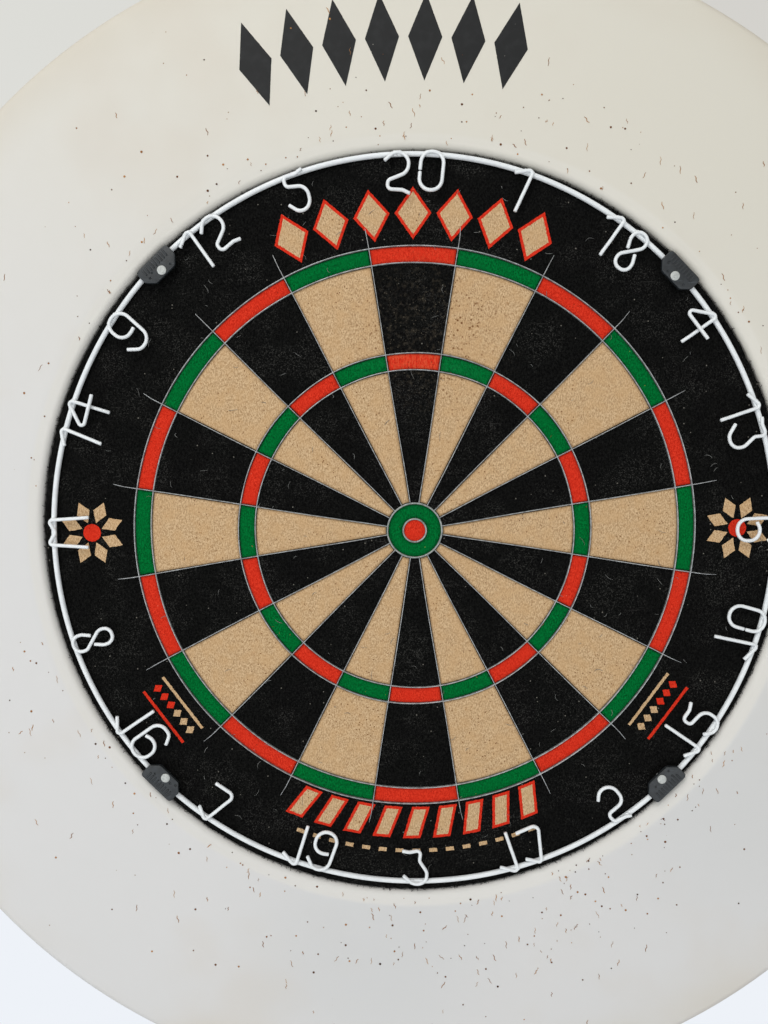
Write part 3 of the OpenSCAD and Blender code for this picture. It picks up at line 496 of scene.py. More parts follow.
def skin(rings, sides, closed):
    """Faces between rings of points, with a cap at each end unless it is closed"""
    faces = []
    for i in range(rings if closed else rings - 1):
        k = (i + 1) % rings
        for j in range(sides):
            m = (j + 1) % sides
            faces.append([i * sides + j, k * sides + j, k * sides + m, i * sides + m])
    if not closed:
        faces.append(list(range(sides)))
        faces.append(list(range((rings - 1) * sides, rings * sides))[::-1])
    return faces


def lathe(shell, outline, steps, edge=None):
    """Turn a closed outline; outline(angle) gives its points as (radius, height), and edge
    how near each of them is to an edge"""
    points = []
    for i in range(steps):
        a = 360 * i / steps
        points.extend((*polar(r, a), d) for r, d in outline(a))
    shell.add(points, skin(steps, len(points) // steps, True), edge and edge * steps)


def knob(shell, outline, steps, centre):
    """Turn an outline that starts and ends on the axis"""
    points = [(centre[0] + x, centre[1] + y, d) for r, d in outline[1:-1]
              for x, y in circle(r, steps)]
    n = len(points)
    faces = skin(n // steps, steps, False)[:-2]
    for i in range(steps):
        k = (i + 1) % steps
        faces += [[n, i, k], [n + 1, n - steps + k, n - steps + i]]
    shell.add(points + [(*centre, outline[0][1]), (*centre, outline[-1][1])], faces)


# Rows of a wire's domed end: share of the radius, and of the dome's depth
DOME_ROWS = ((0.88, 0.55), (0.55, 1.0))


def sweep(shell, path, radius, sides, closed=False, flat=1.0, dome=0.4):
    """Wire or strand along a path; radius is one number, or one for each point. flat squeezes
    it towards the face, and dome is how far an open end bulges, as a share of its radius"""
    path = [Vector(p) for p in path]
    n = len(path)
    radii = radius if isinstance(radius, list) else [radius] * n
    out = Vector((0, 0, 1))
    rings = []

    def ring(at, heading, r):
        side = heading.cross(out)
        side = side.normalized() if side.length > 1e-6 else Vector((1, 0, 0))
        lift = side.cross(heading).normalized()
        rings.append([at + side * (r * math.cos(t)) + lift * (r * flat * math.sin(t))
                      for t in (2 * math.pi * j / sides for j in range(sides))])

    for i, p in enumerate(path):
        before = path[(i - 1) % n] if closed or i else p
        after = path[(i + 1) % n] if closed or i < n - 1 else p
        heading = (after - before).normalized()
        if not closed and i == 0:
            for share, bulge in DOME_ROWS[::-1]:
                ring(p - heading * (radii[0] * dome * bulge), heading, radii[0] * share)
        ring(p, heading, radii[i])
        if not closed and i == n - 1:
            for share, bulge in DOME_ROWS:
                ring(p + heading * (radii[-1] * dome * bulge), heading, radii[-1] * share)
    shell.add([tuple(p) for points in rings for p in points], skin(len(rings), sides, closed))


PIT_SIDES = 8


def prism(shell, outline, low, high, bevel, pits):
    """Upright plate: its outline, its two heights, a rounded upper edge and round pits.
    Each pit is (x, y, radius, depth)"""
    loops = [(0.0, low), (0.0, high - bevel)]
    loops += [(inset, high - bevel + up) for inset, up in fillet(bevel, (30, 60, 90))]
    n = len(outline)
    points = []
    for inset, d in loops:
        points.extend((x, y, d) for x, y in inset_outline(outline, inset))
    faces = skin(len(loops), n, False)[:-1]
    base, start = len(points) - n, len(points)
    loop = [Vector(p[:2]) for p in points[-n:]]
    edges = [(i, (i + 1) % n) for i in range(n)]
    for k, (x, y, r, _) in enumerate(pits):
        first = n + PIT_SIDES * k
        for j, (dx, dy) in enumerate(circle(r, PIT_SIDES)):
            loop.append(Vector((x + dx, y + dy)))
            points.append((x + dx, y + dy, high))
            edges.append((first + j, first + (j + 1) % PIT_SIDES))
    verts, _, tris, origins, _, _ = geometry.delaunay_2d_cdt(loop, edges, [], 1, 1e-6)
    for tri in tris:
        middle = sum((verts[v] for v in tri), Vector((0, 0))) / 3
        if all((middle - Vector(p[:2])).length > p[2] * 0.92 for p in pits):
            faces.append([base + origins[v][0] for v in tri])
    for k, (x, y, r, depth) in enumerate(pits):
        tip = len(points)
        points.append((x, y, high - depth))
        first = start + PIT_SIDES * k
        faces += [[first + (j + 1) % PIT_SIDES, first + j, tip] for j in range(PIT_SIDES)]
    shell.add(points, faces)


def corner_at(outline, i):
    """A corner with the one before and the one after it"""
    n = len(outline)
    return (Vector(outline[(i + k) % n]) for k in (-1, 0, 1))


def inset_outline(outline, inset):
    """A convex outline, its corners moved in so that each side lies deeper by the inset"""
    moved = []
    for i in range(len(outline)):
        a, b, c = corner_at(outline, i)
        u, v = (b - a).normalized(), (c - b).normalized()
        left = (Vector((-u.y, u.x)) + Vector((-v.y, v.x))).normalized()
        share = max(0.35, left.dot(Vector((-u.y, u.x))))
        moved.append(tuple(b + left * (inset / share)))
    return moved


def rounded(corners, radii, steps=4):
    """An outline's corners, counterclockwise, each rounded off by its radius"""
    result = []
    for i, radius in enumerate(radii):
        a, b, c = corner_at(corners, i)
        reach = min(radius, (a - b).length / 2.1, (c - b).length / 2.1)
        p, q = b + (a - b).normalized() * reach, b + (c - b).normalized() * reach
        for j in range(steps + 1):
            t = j / steps
            result.append(tuple(p * (1 - t) ** 2 + b * (2 * t * (1 - t)) + q * t ** 2))
    return result


# Sisal: pressed flat, with a fine relief, and let down a little along the blades
EDGE_DROP = 0.35
EDGE_SOFT = 1.3
FIELD_GAP = 0.6
FIELD_CELL = 2.1
BED_CELL = 1.3
NARROWING = 0.35


def felt(x, y):
    """Relief of the pressed fibre"""
    return 0.07 * grain(x, y, 1.9) + 0.09 * grain(x, y, 7.0, 4.0)


def spread(i, count):
    """Steps from 0 to 1, with a narrow first and last one for the soft edge"""
    t = i / count
    return t - NARROWING * math.sin(2 * math.pi * t) / (2 * math.pi)


def nearness(depth):
    """How near the edge a point is that lies so deep inside a field"""
    return 1 - ease(0, EDGE_SOFT, depth)


def felt_sector(shell, r_in, r_out, middle, cell=FIELD_CELL):
    """A dyed field between blades: r_in to r_out, one step of the dial wide"""
    r_in, r_out = r_in + FIELD_GAP, r_out - FIELD_GAP
    rows = max(4, round((r_out - r_in) / cell))
    cols = max(6, round(math.radians(STEP) * r_out / cell))
    points, edge = [], []
    for i in range(rows + 1):
        r = mix(r_in, r_out, spread(i, rows))
        half = math.radians(STEP) / 2 - FIELD_GAP / r
        row, near = [], []
        for j in range(cols + 1):
            t = mix(-half, half, spread(j, cols))
            near.append(nearness(min(r - r_in, r_out - r, (half - abs(t)) * r)))
            x, y = polar(r, 90 + middle + math.degrees(t))
            row.append((x, y, FACE + felt(x, y) - EDGE_DROP * near[-1]))
        points += row + [(x, y, POCKET) for x, y, _ in row[::-1]]
        edge += near + near[::-1]
    n = 2 * (cols + 1)
    faces = skin(rows + 1, n, False)[:-2]
    for first in (0, rows * n):
        last = first + n - 1
        faces += [[first + j, first + j + 1, last - j - 1, last - j] for j in range(cols)]
    shell.add(points, faces, edge)


def felt_ring(shell, r_in, r_out, low, cell, steps, drops=(EDGE_DROP, EDGE_DROP), shade_reach=0.0):
    """A whole ring of felt, let down at its inner and outer edge; its last argument is how far
    the painted shade along its edges reaches"""
    rows = max(3, round((r_out - r_in) / cell))
    radii = [mix(r_in, r_out, i / rows) for i in range(rows + 1)]
    edge = [0.0] * (rows + 3)
    if shade_reach:
        edge[1:-1] = [1 - ease(-0.4, shade_reach, min(r - r_in, r_out - r)) for r in radii]

    def outline(a):
        points = [(r_in, low)]
        for r in radii:
            drop = drops[0] * nearness(r - r_in) + drops[1] * nearness(r_out - r)
            points.append((r, FACE + felt(*polar(r, a)) - drop))
        return points + [(r_out, low)]
    lathe(shell, outline, steps, edge)


def build_sisal():
    black, cream, red, green = Shell(), Shell(), Shell(), Shell()
    knob(black, [(0, BRISTLE_BACK), (DISC_R, BRISTLE_BACK), (DISC_R, POCKET - 0.6),
                 (DISC_R - 0.6, POCKET), (0, POCKET)], 180, (0, 0))
    felt_ring(black, DOUBLE_R + 0.35, DISC_R + 0.2, POCKET - 0.5, 2.2, 640)
    for k in range(len(DIAL)):
        middle = -k * STEP
        fields, beds = (cream, green) if k % 2 else (black, red)
        felt_sector(fields, BULL_R + 1.0 - FIELD_GAP, INNER_TREBLE_R, middle)
        felt_sector(fields, TREBLE_R, INNER_DOUBLE_R, middle)
        felt_sector(beds, INNER_TREBLE_R, TREBLE_R, middle, BED_CELL)
        felt_sector(beds, INNER_DOUBLE_R, DOUBLE_R, middle, BED_CELL)
    # Painted shade darkens the bull's green next to its two wire rings
    felt_ring(green, INNER_BULL_R + BULL_WIRE_R, BULL_R - BULL_WIRE_R, POCKET, 0.7, 90,
              drops=(0.25, 0.35), shade_reach=2.6)
    edge = INNER_BULL_R - BULL_WIRE_R
    knob(red, [(0, POCKET), (edge, POCKET), (edge, FACE - 0.25), (edge * 0.8, FACE + 0.02),
               (edge * 0.45, FACE + 0.08), (0, FACE + 0.1)], 48, (0, 0))
    black.piece("sisal_disc", "board", "sisal_black", SISAL_BLACK, ["bristle_disc"])
    cream.piece("cream_sisal_fields", "board", "sisal_cream", SISAL_CREAM, ["cream_fields"])
    red.piece("red_sisal_beds", "board", "sisal_red", SISAL_RED, ["red_fields"])
    green.piece("green_sisal_beds", "board", "sisal_green", SISAL_GREEN, ["green_fields"])


# Border ornaments: dyed figures with uneven outlines
ORNAMENT_LIFT = 0.14
LAYER_LIFT = 0.06
OUTLINE_W = 1.7
SPOT_CELL = 2.2
SPOT_MARGIN = 0.8
LOZENGE = (22, 31)
BAR_W, BAR_H, BAR_LEAN = 11, 20, 6
ROSETTE_R = 20
STRIPES_TURN = 126.3
STRIPE = (40, 1.8)
BEAD_PITCH = 6.5
# Radii of the rows of figures
LOZENGE_ROW, BAR_ROW, DASH_ROW, ROSETTE_ROW = (DOUBLE_R + out for out in (19, 12, 30, 26))
CREAM_STRIPE_ROW, BEAD_ROW, RED_STRIPE_ROW = (DOUBLE_R + out for out in (7.9, 14.5, 22.9))


def ragged(outline, amount=0.3, pitch=1.1):
    """An outline cut into short sides, each corner moved a little by noise"""
    result = []
    n = len(outline)
    for i in range(n):
        a, b = Vector(outline[i]), Vector(outline[(i + 1) % n])
        count = max(1, round((b - a).length / pitch))
        for j in range(count):
            p = a.lerp(b, j / count)
            result.append(tuple(v + amount * grain(p.x, p.y, 1.3, seed)
                                for v, seed in zip(p, (7.0, 11.0))))
    return result


def inside(p, loop):
    """Whether p lies in the loop, at least the margin from each side"""
    odd = False
    for i, b in enumerate(loop):
        a = loop[i - 1]
        if (a.y > p.y) != (b.y > p.y) and p.x < (b.x - a.x) * (p.y - a.y) / (b.y - a.y) + a.x:
            odd = not odd
        t = geometry.intersect_point_line(p, a, b)[1]
        if (a.lerp(b, max(0.0, min(1.0, t))) - p).length < SPOT_MARGIN:
            return False
    return odd


def dyed(shell, outline, layer=0):
    """One dyed figure, flush with the face but for a hair's breadth"""
    high = FACE + ORNAMENT_LIFT + LAYER_LIFT * layer
    low = FACE - DYE_DEPTH / 2
    corners = ragged(outline)
    n = len(corners)
    xs, ys = zip(*corners)
    loop = [Vector(p) for p in corners]
    spots = [Vector((min(xs) + (i + 0.5) * SPOT_CELL, min(ys) + (j + 0.5) * SPOT_CELL))
             for i in range(int((max(xs) - min(xs)) / SPOT_CELL))
             for j in range(int((max(ys) - min(ys)) / SPOT_CELL))]
    sides = [(i, (i + 1) % n) for i in range(n)]
    verts, _, tris, _, _, _ = geometry.delaunay_2d_cdt(
        loop + [p for p in spots if inside(p, loop)], sides, [], 1, 1e-6)
    m = len(verts)
    faces = [list(t) for t in tris] + [[v + m for v in t][::-1] for t in tris]
    around = {(t[k - 1], t[k]) for t in tris for k in range(len(t))}
    faces += [[a + m, b + m, b, a] for a, b in sorted(around) if (b, a) not in around]
    shell.add([(v.x, v.y, high + 0.05 * grain(v.x, v.y, 1.9)) for v in verts]
              + [(v.x, v.y, low) for v in verts], faces)


def turned(outline, angle, at):
    """An outline moved to a place and then turned about the board's centre"""
    return [turn_xy(x + at[0], y + at[1], angle) for x, y in outline]


def lozenge(w, h, inset=0.0):
    k = 1 - 2 * inset * math.hypot(w, h) / (w * h)
    return [(-w * k / 2, 0), (0, -h * k / 2), (w * k / 2, 0), (0, h * k / 2)]


def bar(w, h, lean=0.0):
    return [(-(w + lean) / 2, -h / 2), ((w - lean) / 2, -h / 2),
            ((w + lean) / 2, h / 2), ((lean - w) / 2, h / 2)]


def on_arc(count, angle, base=0.0):
    return [base + (i - (count - 1) / 2) * angle for i in range(count)]


def build_ornaments():
    cream, red = Shell(), Shell()
    for a in on_arc(7, 7.5):
        dyed(red, turned(lozenge(*LOZENGE), a, (0, LOZENGE_ROW)))
        dyed(cream, turned(lozenge(*LOZENGE, OUTLINE_W), a, (0, LOZENGE_ROW)), 1)
    share = 1 - 2 * OUTLINE_W / BAR_H
    inner_w = BAR_W - 2 * OUTLINE_W * math.hypot(BAR_H, BAR_LEAN) / BAR_H
    for a in on_arc(9, 5.6):
        dyed(red, turned(bar(BAR_W, BAR_H, BAR_LEAN), a, (0, -BAR_ROW)))
        dyed(cream, turned(bar(inner_w, BAR_H * share, BAR_LEAN * share), a, (0, -BAR_ROW)), 1)
    for a in on_arc(15, 3):
        dyed(cream, turned(bar(5, 2.4), a, (0, -DASH_ROW)))
    for side in (-1, 1):
        middle = side * ROSETTE_ROW
        for p in range(8):
            petal = turned(lozenge(ROSETTE_R * 0.42, ROSETTE_R * 0.68), (p + 0.5) * 45,
                           (0, ROSETTE_R * 0.66))
            dyed(cream, [(x + middle, y) for x, y in petal])
        dyed(red, [(x + middle, y) for x, y in circle(ROSETTE_R * 0.27, 20)])
        dyed(cream, turned(bar(*STRIPE), side * STRIPES_TURN, (0, CREAM_STRIPE_ROW)))
        dyed(red, turned(bar(*STRIPE), side * STRIPES_TURN, (0, RED_STRIPE_ROW)))
        for i in range(6):
            bead = turned(lozenge(BEAD_PITCH * 0.8, BEAD_PITCH), side * STRIPES_TURN,
                          (side * (i - 2.5) * BEAD_PITCH, BEAD_ROW))
            dyed(cream if i < 3 else red, bead)
    cream.piece("cream_ornaments", "board", "sisal_cream", SISAL_CREAM, ["border_print_cream"])
    red.piece("red_ornaments", "board", "sisal_red", SISAL_RED, ["border_print_red"])


# Blades
THIN = 0.62
STATIONS = 44


def blade_section(half, top, shoulder, crest):
    """A blade's cross-section: shoulders below its top, and a crest narrower by its share"""
    return [(-half, BLADE_FOOT), (half, BLADE_FOOT), (half, top - shoulder),
            (half * crest, top), (-half * crest, top), (-half, top - shoulder)]


def build_blades():
    radial = Shell()
    dice = random.Random(21)
    for k in range(len(DIAL)):
        a = 90 + (k + 0.5) * STEP
        reach = BLADE_REACH + dice.uniform(-1.2, 1.6)
        bend = dice.uniform(-0.9, 0.9)
        phase = dice.uniform(0, 6.28)
        points = []
        for i in range(STATIONS + 1):
            r = mix(BULL_R + BULL_WIRE_R - 0.1, reach, i / STATIONS)
            tail = ease(reach - 13, reach, r)
            side = 0.22 * math.sin(r / 23 + phase) * ease(16, 40, r) + bend * tail ** 2
            top = BLADE_TOP - 0.1 * (1 + math.sin(r / 31 + phase)) / 2 - 1.25 * tail ** 2.5
            for across, d in blade_section(THIN / 2 * (1 - 0.35 * tail), top, 0.22, 0.45):
                points.append((*turn_xy(r, across + side, a), d))
        radial.add(points, skin(STATIONS + 1, 6, False))
    radial.piece("thin_radial_blades", "board", "blade_steel", BLADE_STEEL, ["radial_blades"], 50)

    for name, r in (("outer_double_blade", DOUBLE_R), ("inner_double_blade", INNER_DOUBLE_R),
                    ("outer_treble_blade", TREBLE_R), ("inner_treble_blade", INNER_TREBLE_R)):
        def outline(a):
            middle = r + 0.12 * math.sin(math.radians(a) * 10 + r)
            return [(middle + x, d) for x, d in blade_section(THIN / 2, BLADE_TOP - 0.12, 0.2, 0.4)]
        shell = Shell()
        lathe(shell, outline, steps=400)
        shell.piece("thin_" + name, "board", "blade_steel", BLADE_STEEL, [name], 50)

    top = BLADE_TOP - BULL_WIRE_R
    for name, r in (("outer_bull_ring", BULL_R), ("inner_bull_ring", INNER_BULL_R)):
        wire = [(r - BULL_WIRE_R, BLADE_FOOT), (r + BULL_WIRE_R, BLADE_FOOT)]
        for t in range(0, 181, 20):
            x, lift = polar(BULL_WIRE_R, t)
            wire.append((r + x, top + lift))
        shell = Shell()
        lathe(shell, lambda a: wire, steps=128)
        shell.piece("round_" + name, "board", "bull_ring_steel", BULL_STEEL, [name], 60)


# Number ring, out of round as in the photo
RING_WAVES = ((1, -0.22, 1.09), (2, -1.17, -0.53), (3, 0.08, -0.93), (4, -0.18, 0.14))
RING_MEAN = 220.64


def ring_radius(a):
    return RING_MEAN + sum(c * cosd(k * a) + s * sind(k * a) for k, c, s in RING_WAVES)


# Wire of each figure: (x, y, bend radius, rise), in the proportions of a 25 mm tall figure
ONE_TOP, ONE_FOOT, EIGHT_BACK, ELEVEN, TWO_FOOT = 10, 11, 12, 13, 14
FIGURES = {
    0: [(-7, 11.6, 0), (-7, 22.8, 6.7), (7, 22.8, 6.7), (7, 0, 6.7), (-7, 0, 6.7), (-7, 10, 0)],
    2: [(-8.3, 16.3, 0), (-3.5, 21.6, 6.2), (5.5, 21.6, 6.2), (5.5, 11.4, 6), (-5, 5.6, 2.5),
        (-5, 0.7, 2.5), (4, 1.3, 4), (8.1, 0, 0)],
    3: [(-8.9, 21.6, 0), (-4.6, 21.1, 4), (2.2, 22.7, 2.2), (1.6, 15.4, 3.5), (6.4, 8.2, 5.6),
        (6.4, 0, 5.6), (-2, 0, 5.2), (-7.8, 5, 0)],
    4: [(10.2, 11.4, 0, 2.3), (-11.7, 11.6, 1.8), (3.2, 25.6, 1.8), (3.2, 0, 0, -2.4)],
    5: [(5.6, 22.6, 0), (1.2, 20.5, 4), (-6.4, 20.2, 2.6), (-6.2, 14.6, 2.4), (6.9, 13, 6),
        (6.9, 0, 6), (-1.5, 0, 5), (-6.3, 4.2, 0)],
    6: [(7.2, 19.4, 0), (3.5, 25, 4.6), (-7.1, 25, 6.5), (-7.1, 0, 6.5), (6.6, 0, 6.5),
        (6.6, 14.2, 6.3), (-1.5, 14.2, 4.5), (-4.6, 12.6, 0)],
    7: [(-9.1, 21.6, 0), (5.8, 22.4, 3.2), (-0.3, -1.2, 1.6), (-8.8, 4, 0)],
    8: [(3.3, 12.9, 0), (5.5, 18.2, 4.8), (5.5, 25.1, 4.8), (-4.9, 25.1, 4.8), (-4.9, 17.8, 4.8),
        (5.3, 7.2, 4.8), (5.3, 0, 4.8), (-5.4, 0, 4.8), (-5.4, 6.8, 5), (-3.1, 11.9, 0)],
    9: [(3.4, 11.3, 0), (0.6, 10.8, 4), (-6.9, 10.8, 6), (-6.9, 24.9, 6.5), (6.9, 24.9, 6.5),
        (5.8, 0, 6.5), (-3.6, 0, 5), (-8.9, 6, 0)],
    ONE_TOP: [(-8.4, 20.4, 0), (0, 26.6, 1.6), (0, 0, 0)],
    ONE_FOOT: [(0, 25.2, 0), (0, -1.6, 1.6), (-9, 5, 0)],
    ELEVEN: [(-8.7, 0.4, 0), (-7.3, 26, 1.6), (0, 20.9, 3), (7.3, 26, 1.6), (9.2, 0, 0)],
    TWO_FOOT: [(-7.8, 19.2, 0), (-3.9, 23.2, 6.2), (5.6, 23.2, 6.4), (5.6, 9.6, 5.3),
               (-8.4, 8.9, 2.5), (-8, 3.2, 2.3), (0.2, 1.4, 4), (3, 0, 0)],
}
FIGURES[EIGHT_BACK] = [(-x, y, r) for x, y, r in FIGURES[8]]
FIGURE_H = {0: 22.7, 3: 22.7, 2: 21.6, 4: 23.2, 5: 22.4, 7: 22.4, TWO_FOOT: 23.2}
# For each number: figure, distance along the ring, rise over the wire, lean, and its width
# and height as shares of the drawn ones
FIGURES_OF = {
    20: [(2, -10, 0.7, -8, 1.03, 1.04), (0, 10.2, 2.5, -6, 0.96, 0.97)],
    1: [(ONE_TOP, -0.3, 1.7, -7.7, 1.14, 0.99)],
    18: [(ONE_TOP, -5.2, 0.9, 0, 1.14, 0.98), (EIGHT_BACK, 8.4, 1.1, -1.5, 0.93, 0.97)],
    4: [(4, 1.9, -1.5, -1, 0.99, 1.02)],
    13: [(ONE_TOP, -3.5, -0.2, 0.5, 1.14, 0.97), (3, 8.7, -0.9, -7.5, 1.01, 0.98)],
    6: [(6, 2.9, 0.3, 2, 0.97, 0.95)],
    10: [(ONE_FOOT, -5, 0.5, 5.6, 1.11, 1.03), (0, 9, 0.8, 2, 0.95, 0.97)],
    15: [(ONE_FOOT, -8.2, 1.8, 1.2, 1.01, 1.02), (5, 6.3, 2.6, 0, 0.96, 0.99)],
    2: [(TWO_FOOT, -0.3, 2.9, 2.2, 0.95, 1.04)],
    17: [(ONE_FOOT, -5.4, 1.8, 1, 1.1, 0.98), (7, 10.1, 0.8, 2, 0.98, 1)],
    3: [(3, 0, 1.3, -2.5, 1.01, 0.95)],
    19: [(ONE_FOOT, -6.4, 1, 0, 1.08, 1), (9, 7.6, 0, 0, 0.96, 0.98)],
    7: [(7, 0.7, 0.7, -2, 0.95, 1)],
    16: [(ONE_FOOT, -5.2, 0.3, -2.2, 1.08, 1.01), (6, 9.6, 0.2, -1, 0.97, 0.98)],
    8: [(8, 2.7, -0.7, 0, 0.93, 0.98)],
    11: [(ELEVEN, -1.3, 1.7, -1, 1.01, 0.94)],
    14: [(ONE_TOP, -8.3, -0.4, -4.8, 1.1, 0.98), (4, 7.8, -0.9, 0, 1, 1)],
    9: [(9, -4.2, -0.5, -4, 0.99, 1)],
    12: [(ONE_TOP, -3.4, 1, -1, 1.14, 0.99), (2, 10.8, 0.8, 0.5, 1.01, 1)],
    5: [(5, -4.3, 1.8, -5.8, 0.95, 1.04)],
}
FIRST_FOOT_DOWN, LAST_FOOT_DOWN = 6, 14
FIGURE_TALL = 25
NUMERAL_D = RING_D + RING_WIRE_R + NUMERAL_WIRE_R - 0.35
BEND_ARC = 7.0
WIRE_RUN = 3.0


def bent(points):
    """Stations (x, y, rise) along a wire: straight runs and an arc at each bend"""
    flat = [Vector(p[:2]) for p in points]
    rise = [p[3] if len(p) > 3 else 0.0 for p in points]
    stations = [(flat[0].x, flat[0].y, rise[0])]
    for i in range(1, len(points) - 1):
        u = (flat[i] - flat[i - 1]).normalized()
        v = (flat[i + 1] - flat[i]).normalized()
        side = -1 if u.x * v.y - u.y * v.x < 0 else 1
        turn = math.acos(max(-1, min(1, u.dot(v))))
        r = points[i][2]
        start = flat[i] - u * (r * math.tan(turn / 2))
        centre = start + Vector((-u.y, u.x)) * (side * r)
        heading = math.atan2(u.y, u.x)
        count = max(3, math.ceil(math.degrees(turn) / BEND_ARC))
        for j in range(count + 1):
            a = heading + side * turn * j / count
            p = centre + Vector((math.sin(a), -math.cos(a))) * (side * r)
            stations.append((p.x, p.y, rise[i]))
    stations.append((flat[-1].x, flat[-1].y, rise[-1]))
    path = [stations[0]]
    for p in stations[1:]:
        last = Vector(path[-1])
        count = max(1, math.ceil((Vector(p) - last).length / WIRE_RUN))
        path.extend(tuple(last.lerp(Vector(p), j / count)) for j in range(1, count + 1))
    return path


def figure_paths(number):
    """Paths of a number's figures on the board"""
    k = DIAL.index(number)
    foot_down = FIRST_FOOT_DOWN <= k <= LAST_FOOT_DOWN
    turn = -k * STEP + (180 if foot_down else 0)
    for figure, along, over, lean, wide, tall in FIGURES_OF[number]:
        lift = -RING_R - over if foot_down else RING_R + over - FIGURE_H.get(figure, FIGURE_TALL)
        path = []
        for x, y, rise in bent(FIGURES[figure]):
            x, y = turn_xy(x * wide, y * tall, lean)
            x, y = x + along, y + lift
            wobble = 0.08 * grain(x, y, 6.0, k * 3.1)
            x, y = turn_xy(x, y, turn)
            path.append((x + RING_X + wobble, y + RING_Y - wobble, NUMERAL_D + rise))
        yield path


def off_ring(p):
    """How far a point of the drawing lies outside the ring's middle line"""
    return math.hypot(p[0], p[1]) - ring_radius(math.degrees(math.atan2(p[1], p[0])))


def tack(shell, x, y):
    """The small weld where a figure crosses the ring"""
    rows = ((0, -0.95), (1.25, -0.8), (1.75, -0.2), (1.7, 0.3), (1.1, 0.85), (0, 1.0))
    knob(shell, [(r, RING_D + RING_WIRE_R - 0.25 + d) for r, d in rows], 12, (x, y))


def build_number_ring():
    shell = Shell()
    path = [(*polar(ring_radius(a), a), RING_D + 0.05 * grain(a, 0, 9.0, 2.0)) for a in range(360)]
    sweep(shell, path, RING_WIRE_R, 16, closed=True)
    shell.piece("ring_wire", "number_ring", "white_wire", WHITE_WIRE, ["number_ring_wire"])
    for number in DIAL:
        shell = Shell()
        for path in figure_paths(number):
            sweep(shell, path, NUMERAL_WIRE_R, 14)
            for a, b in zip(path, path[1:]):
                u, v = off_ring(a), off_ring(b)
                if u * v < 0 and abs(a[2] - NUMERAL_D) < 0.6:
                    t = u / (u - v)
                    tack(shell, mix(a[0], b[0], t), mix(a[1], b[1], t))
        shell.piece("figure_wire_%d" % number, "number_ring", "white_wire", WHITE_WIRE,
                    ["numeral_%d" % number])


# Ring clips, with worn pits and grip ribs, and their pins
CLIP_W, CLIP_H, PIN_EDGE, CLIP_CHAMFER = 25, 12.8, 3.2, 4.9
CLIP_T = 2.2
CLIP_FRONT = CLIP_BACK + CLIP_T
CORNER_ROUND, FOOT_ROUND, CLIP_EDGE = 2.4, 1.0, 0.55
PITS, PIT_DEPTH, PIT_SPACE, PIN_SPACE = 3, 1.5, 3.2, 4.4
RIBS, RIB_PITCH, RIB_LENGTH, RIB_R = 9, 2.1, 4.4, 0.55
PIN_HEAD_R = 2.75


def build_clips():
    dice = random.Random(8)
    top = CLIP_H - PIN_EDGE
    w = CLIP_W / 2
    corners = [(-w, top), (-w, CLIP_CHAMFER - PIN_EDGE), (CLIP_CHAMFER - w, -PIN_EDGE),
               (w - CLIP_CHAMFER, -PIN_EDGE), (w, CLIP_CHAMFER - PIN_EDGE), (w, top)]
    outline = rounded(corners, [CORNER_ROUND] + [FOOT_ROUND] * 4 + [CORNER_ROUND])
    for name, angle in CLIP_ANGLES.items():
        def put(x, y):
            return turn_xy(x, y + PIN_R, angle - 90)
        shell = Shell()
        pits = []
        while len(pits) < PITS:
            x, y = dice.uniform(-9.5, 9.5), dice.uniform(-1.2, 3.2)
            far = all(math.hypot(x - q[0], y - q[1]) > PIT_SPACE for q in pits)
            if far and math.hypot(x, y) > PIN_SPACE and abs(x) < 9.0 - max(0, -y):
                pits.append((x, y, dice.uniform(0.75, 0.95)))
        prism(shell, [put(*p) for p in outline], CLIP_BACK, CLIP_FRONT, CLIP_EDGE,
              [(*put(x, y), r, PIT_DEPTH) for x, y, r in pits])
        low = top - 1.3 - RIB_LENGTH
        for i in range(RIBS):
            x = (i - (RIBS - 1) / 2) * RIB_PITCH
            path = [(*put(x, low + along), CLIP_FRONT + lift) for along, lift in (
                (0.5, 0.05), (RIB_LENGTH / 2, 0.08), (RIB_LENGTH - 0.2, 0.05))]
            sweep(shell, path, RIB_R, 10, dome=0.8)
        shell.piece(name + "_plate", name, "clip_plastic", CLIP_PLASTIC, [name], 45)


def build_pins():
    shell = Shell()
    foot = box_mm("clip_pins")[0][2]
    neck = CLIP_BACK - 0.05
    head = CLIP_FRONT + 0.05
    rows = [(0, foot), (1.0, foot), (1.0, FACE), (1.45, FACE), (1.45, neck), (1.2, neck)]
    rows += [(r, head + d) for r, d in (
        (1.2, 0), (PIN_HEAD_R - 0.15, 0), (PIN_HEAD_R, 0.2), (PIN_HEAD_R - 0.05, 0.55),
        (PIN_HEAD_R - 0.4, 0.8), (PIN_HEAD_R * 0.5, 0.88), (0, 0.9))]
    for angle in CLIP_ANGLES.values():
        knob(shell, rows, 32, polar(PIN_R, angle))
    shell.piece("domed_pins", "board", "pin_metal", PIN_METAL, ["clip_pins"], 35)


# Foam surround
LIP_W, LIP_DROP, LIP_ROUND = 12.0, 2.6, 4.5
FRONT_CROWN, CROWN_MIDDLE, CROWN_REACH = 0.42, 285, 65
EDGE_ROUND, BACK_ROUND = 6.0, 5.0
# How far the middle of the outer edge lies off the board's, and which way
OFF_MIDDLE, OFF_HEADING = 3.6, -26
PRINTED_LOZENGE = (20, 50)
PRINT_ROW = (BORE_R + SURROUND_R) / 2 - 0.5
PRINT_SINK, PRINT_LIFT = -0.5, 0.12


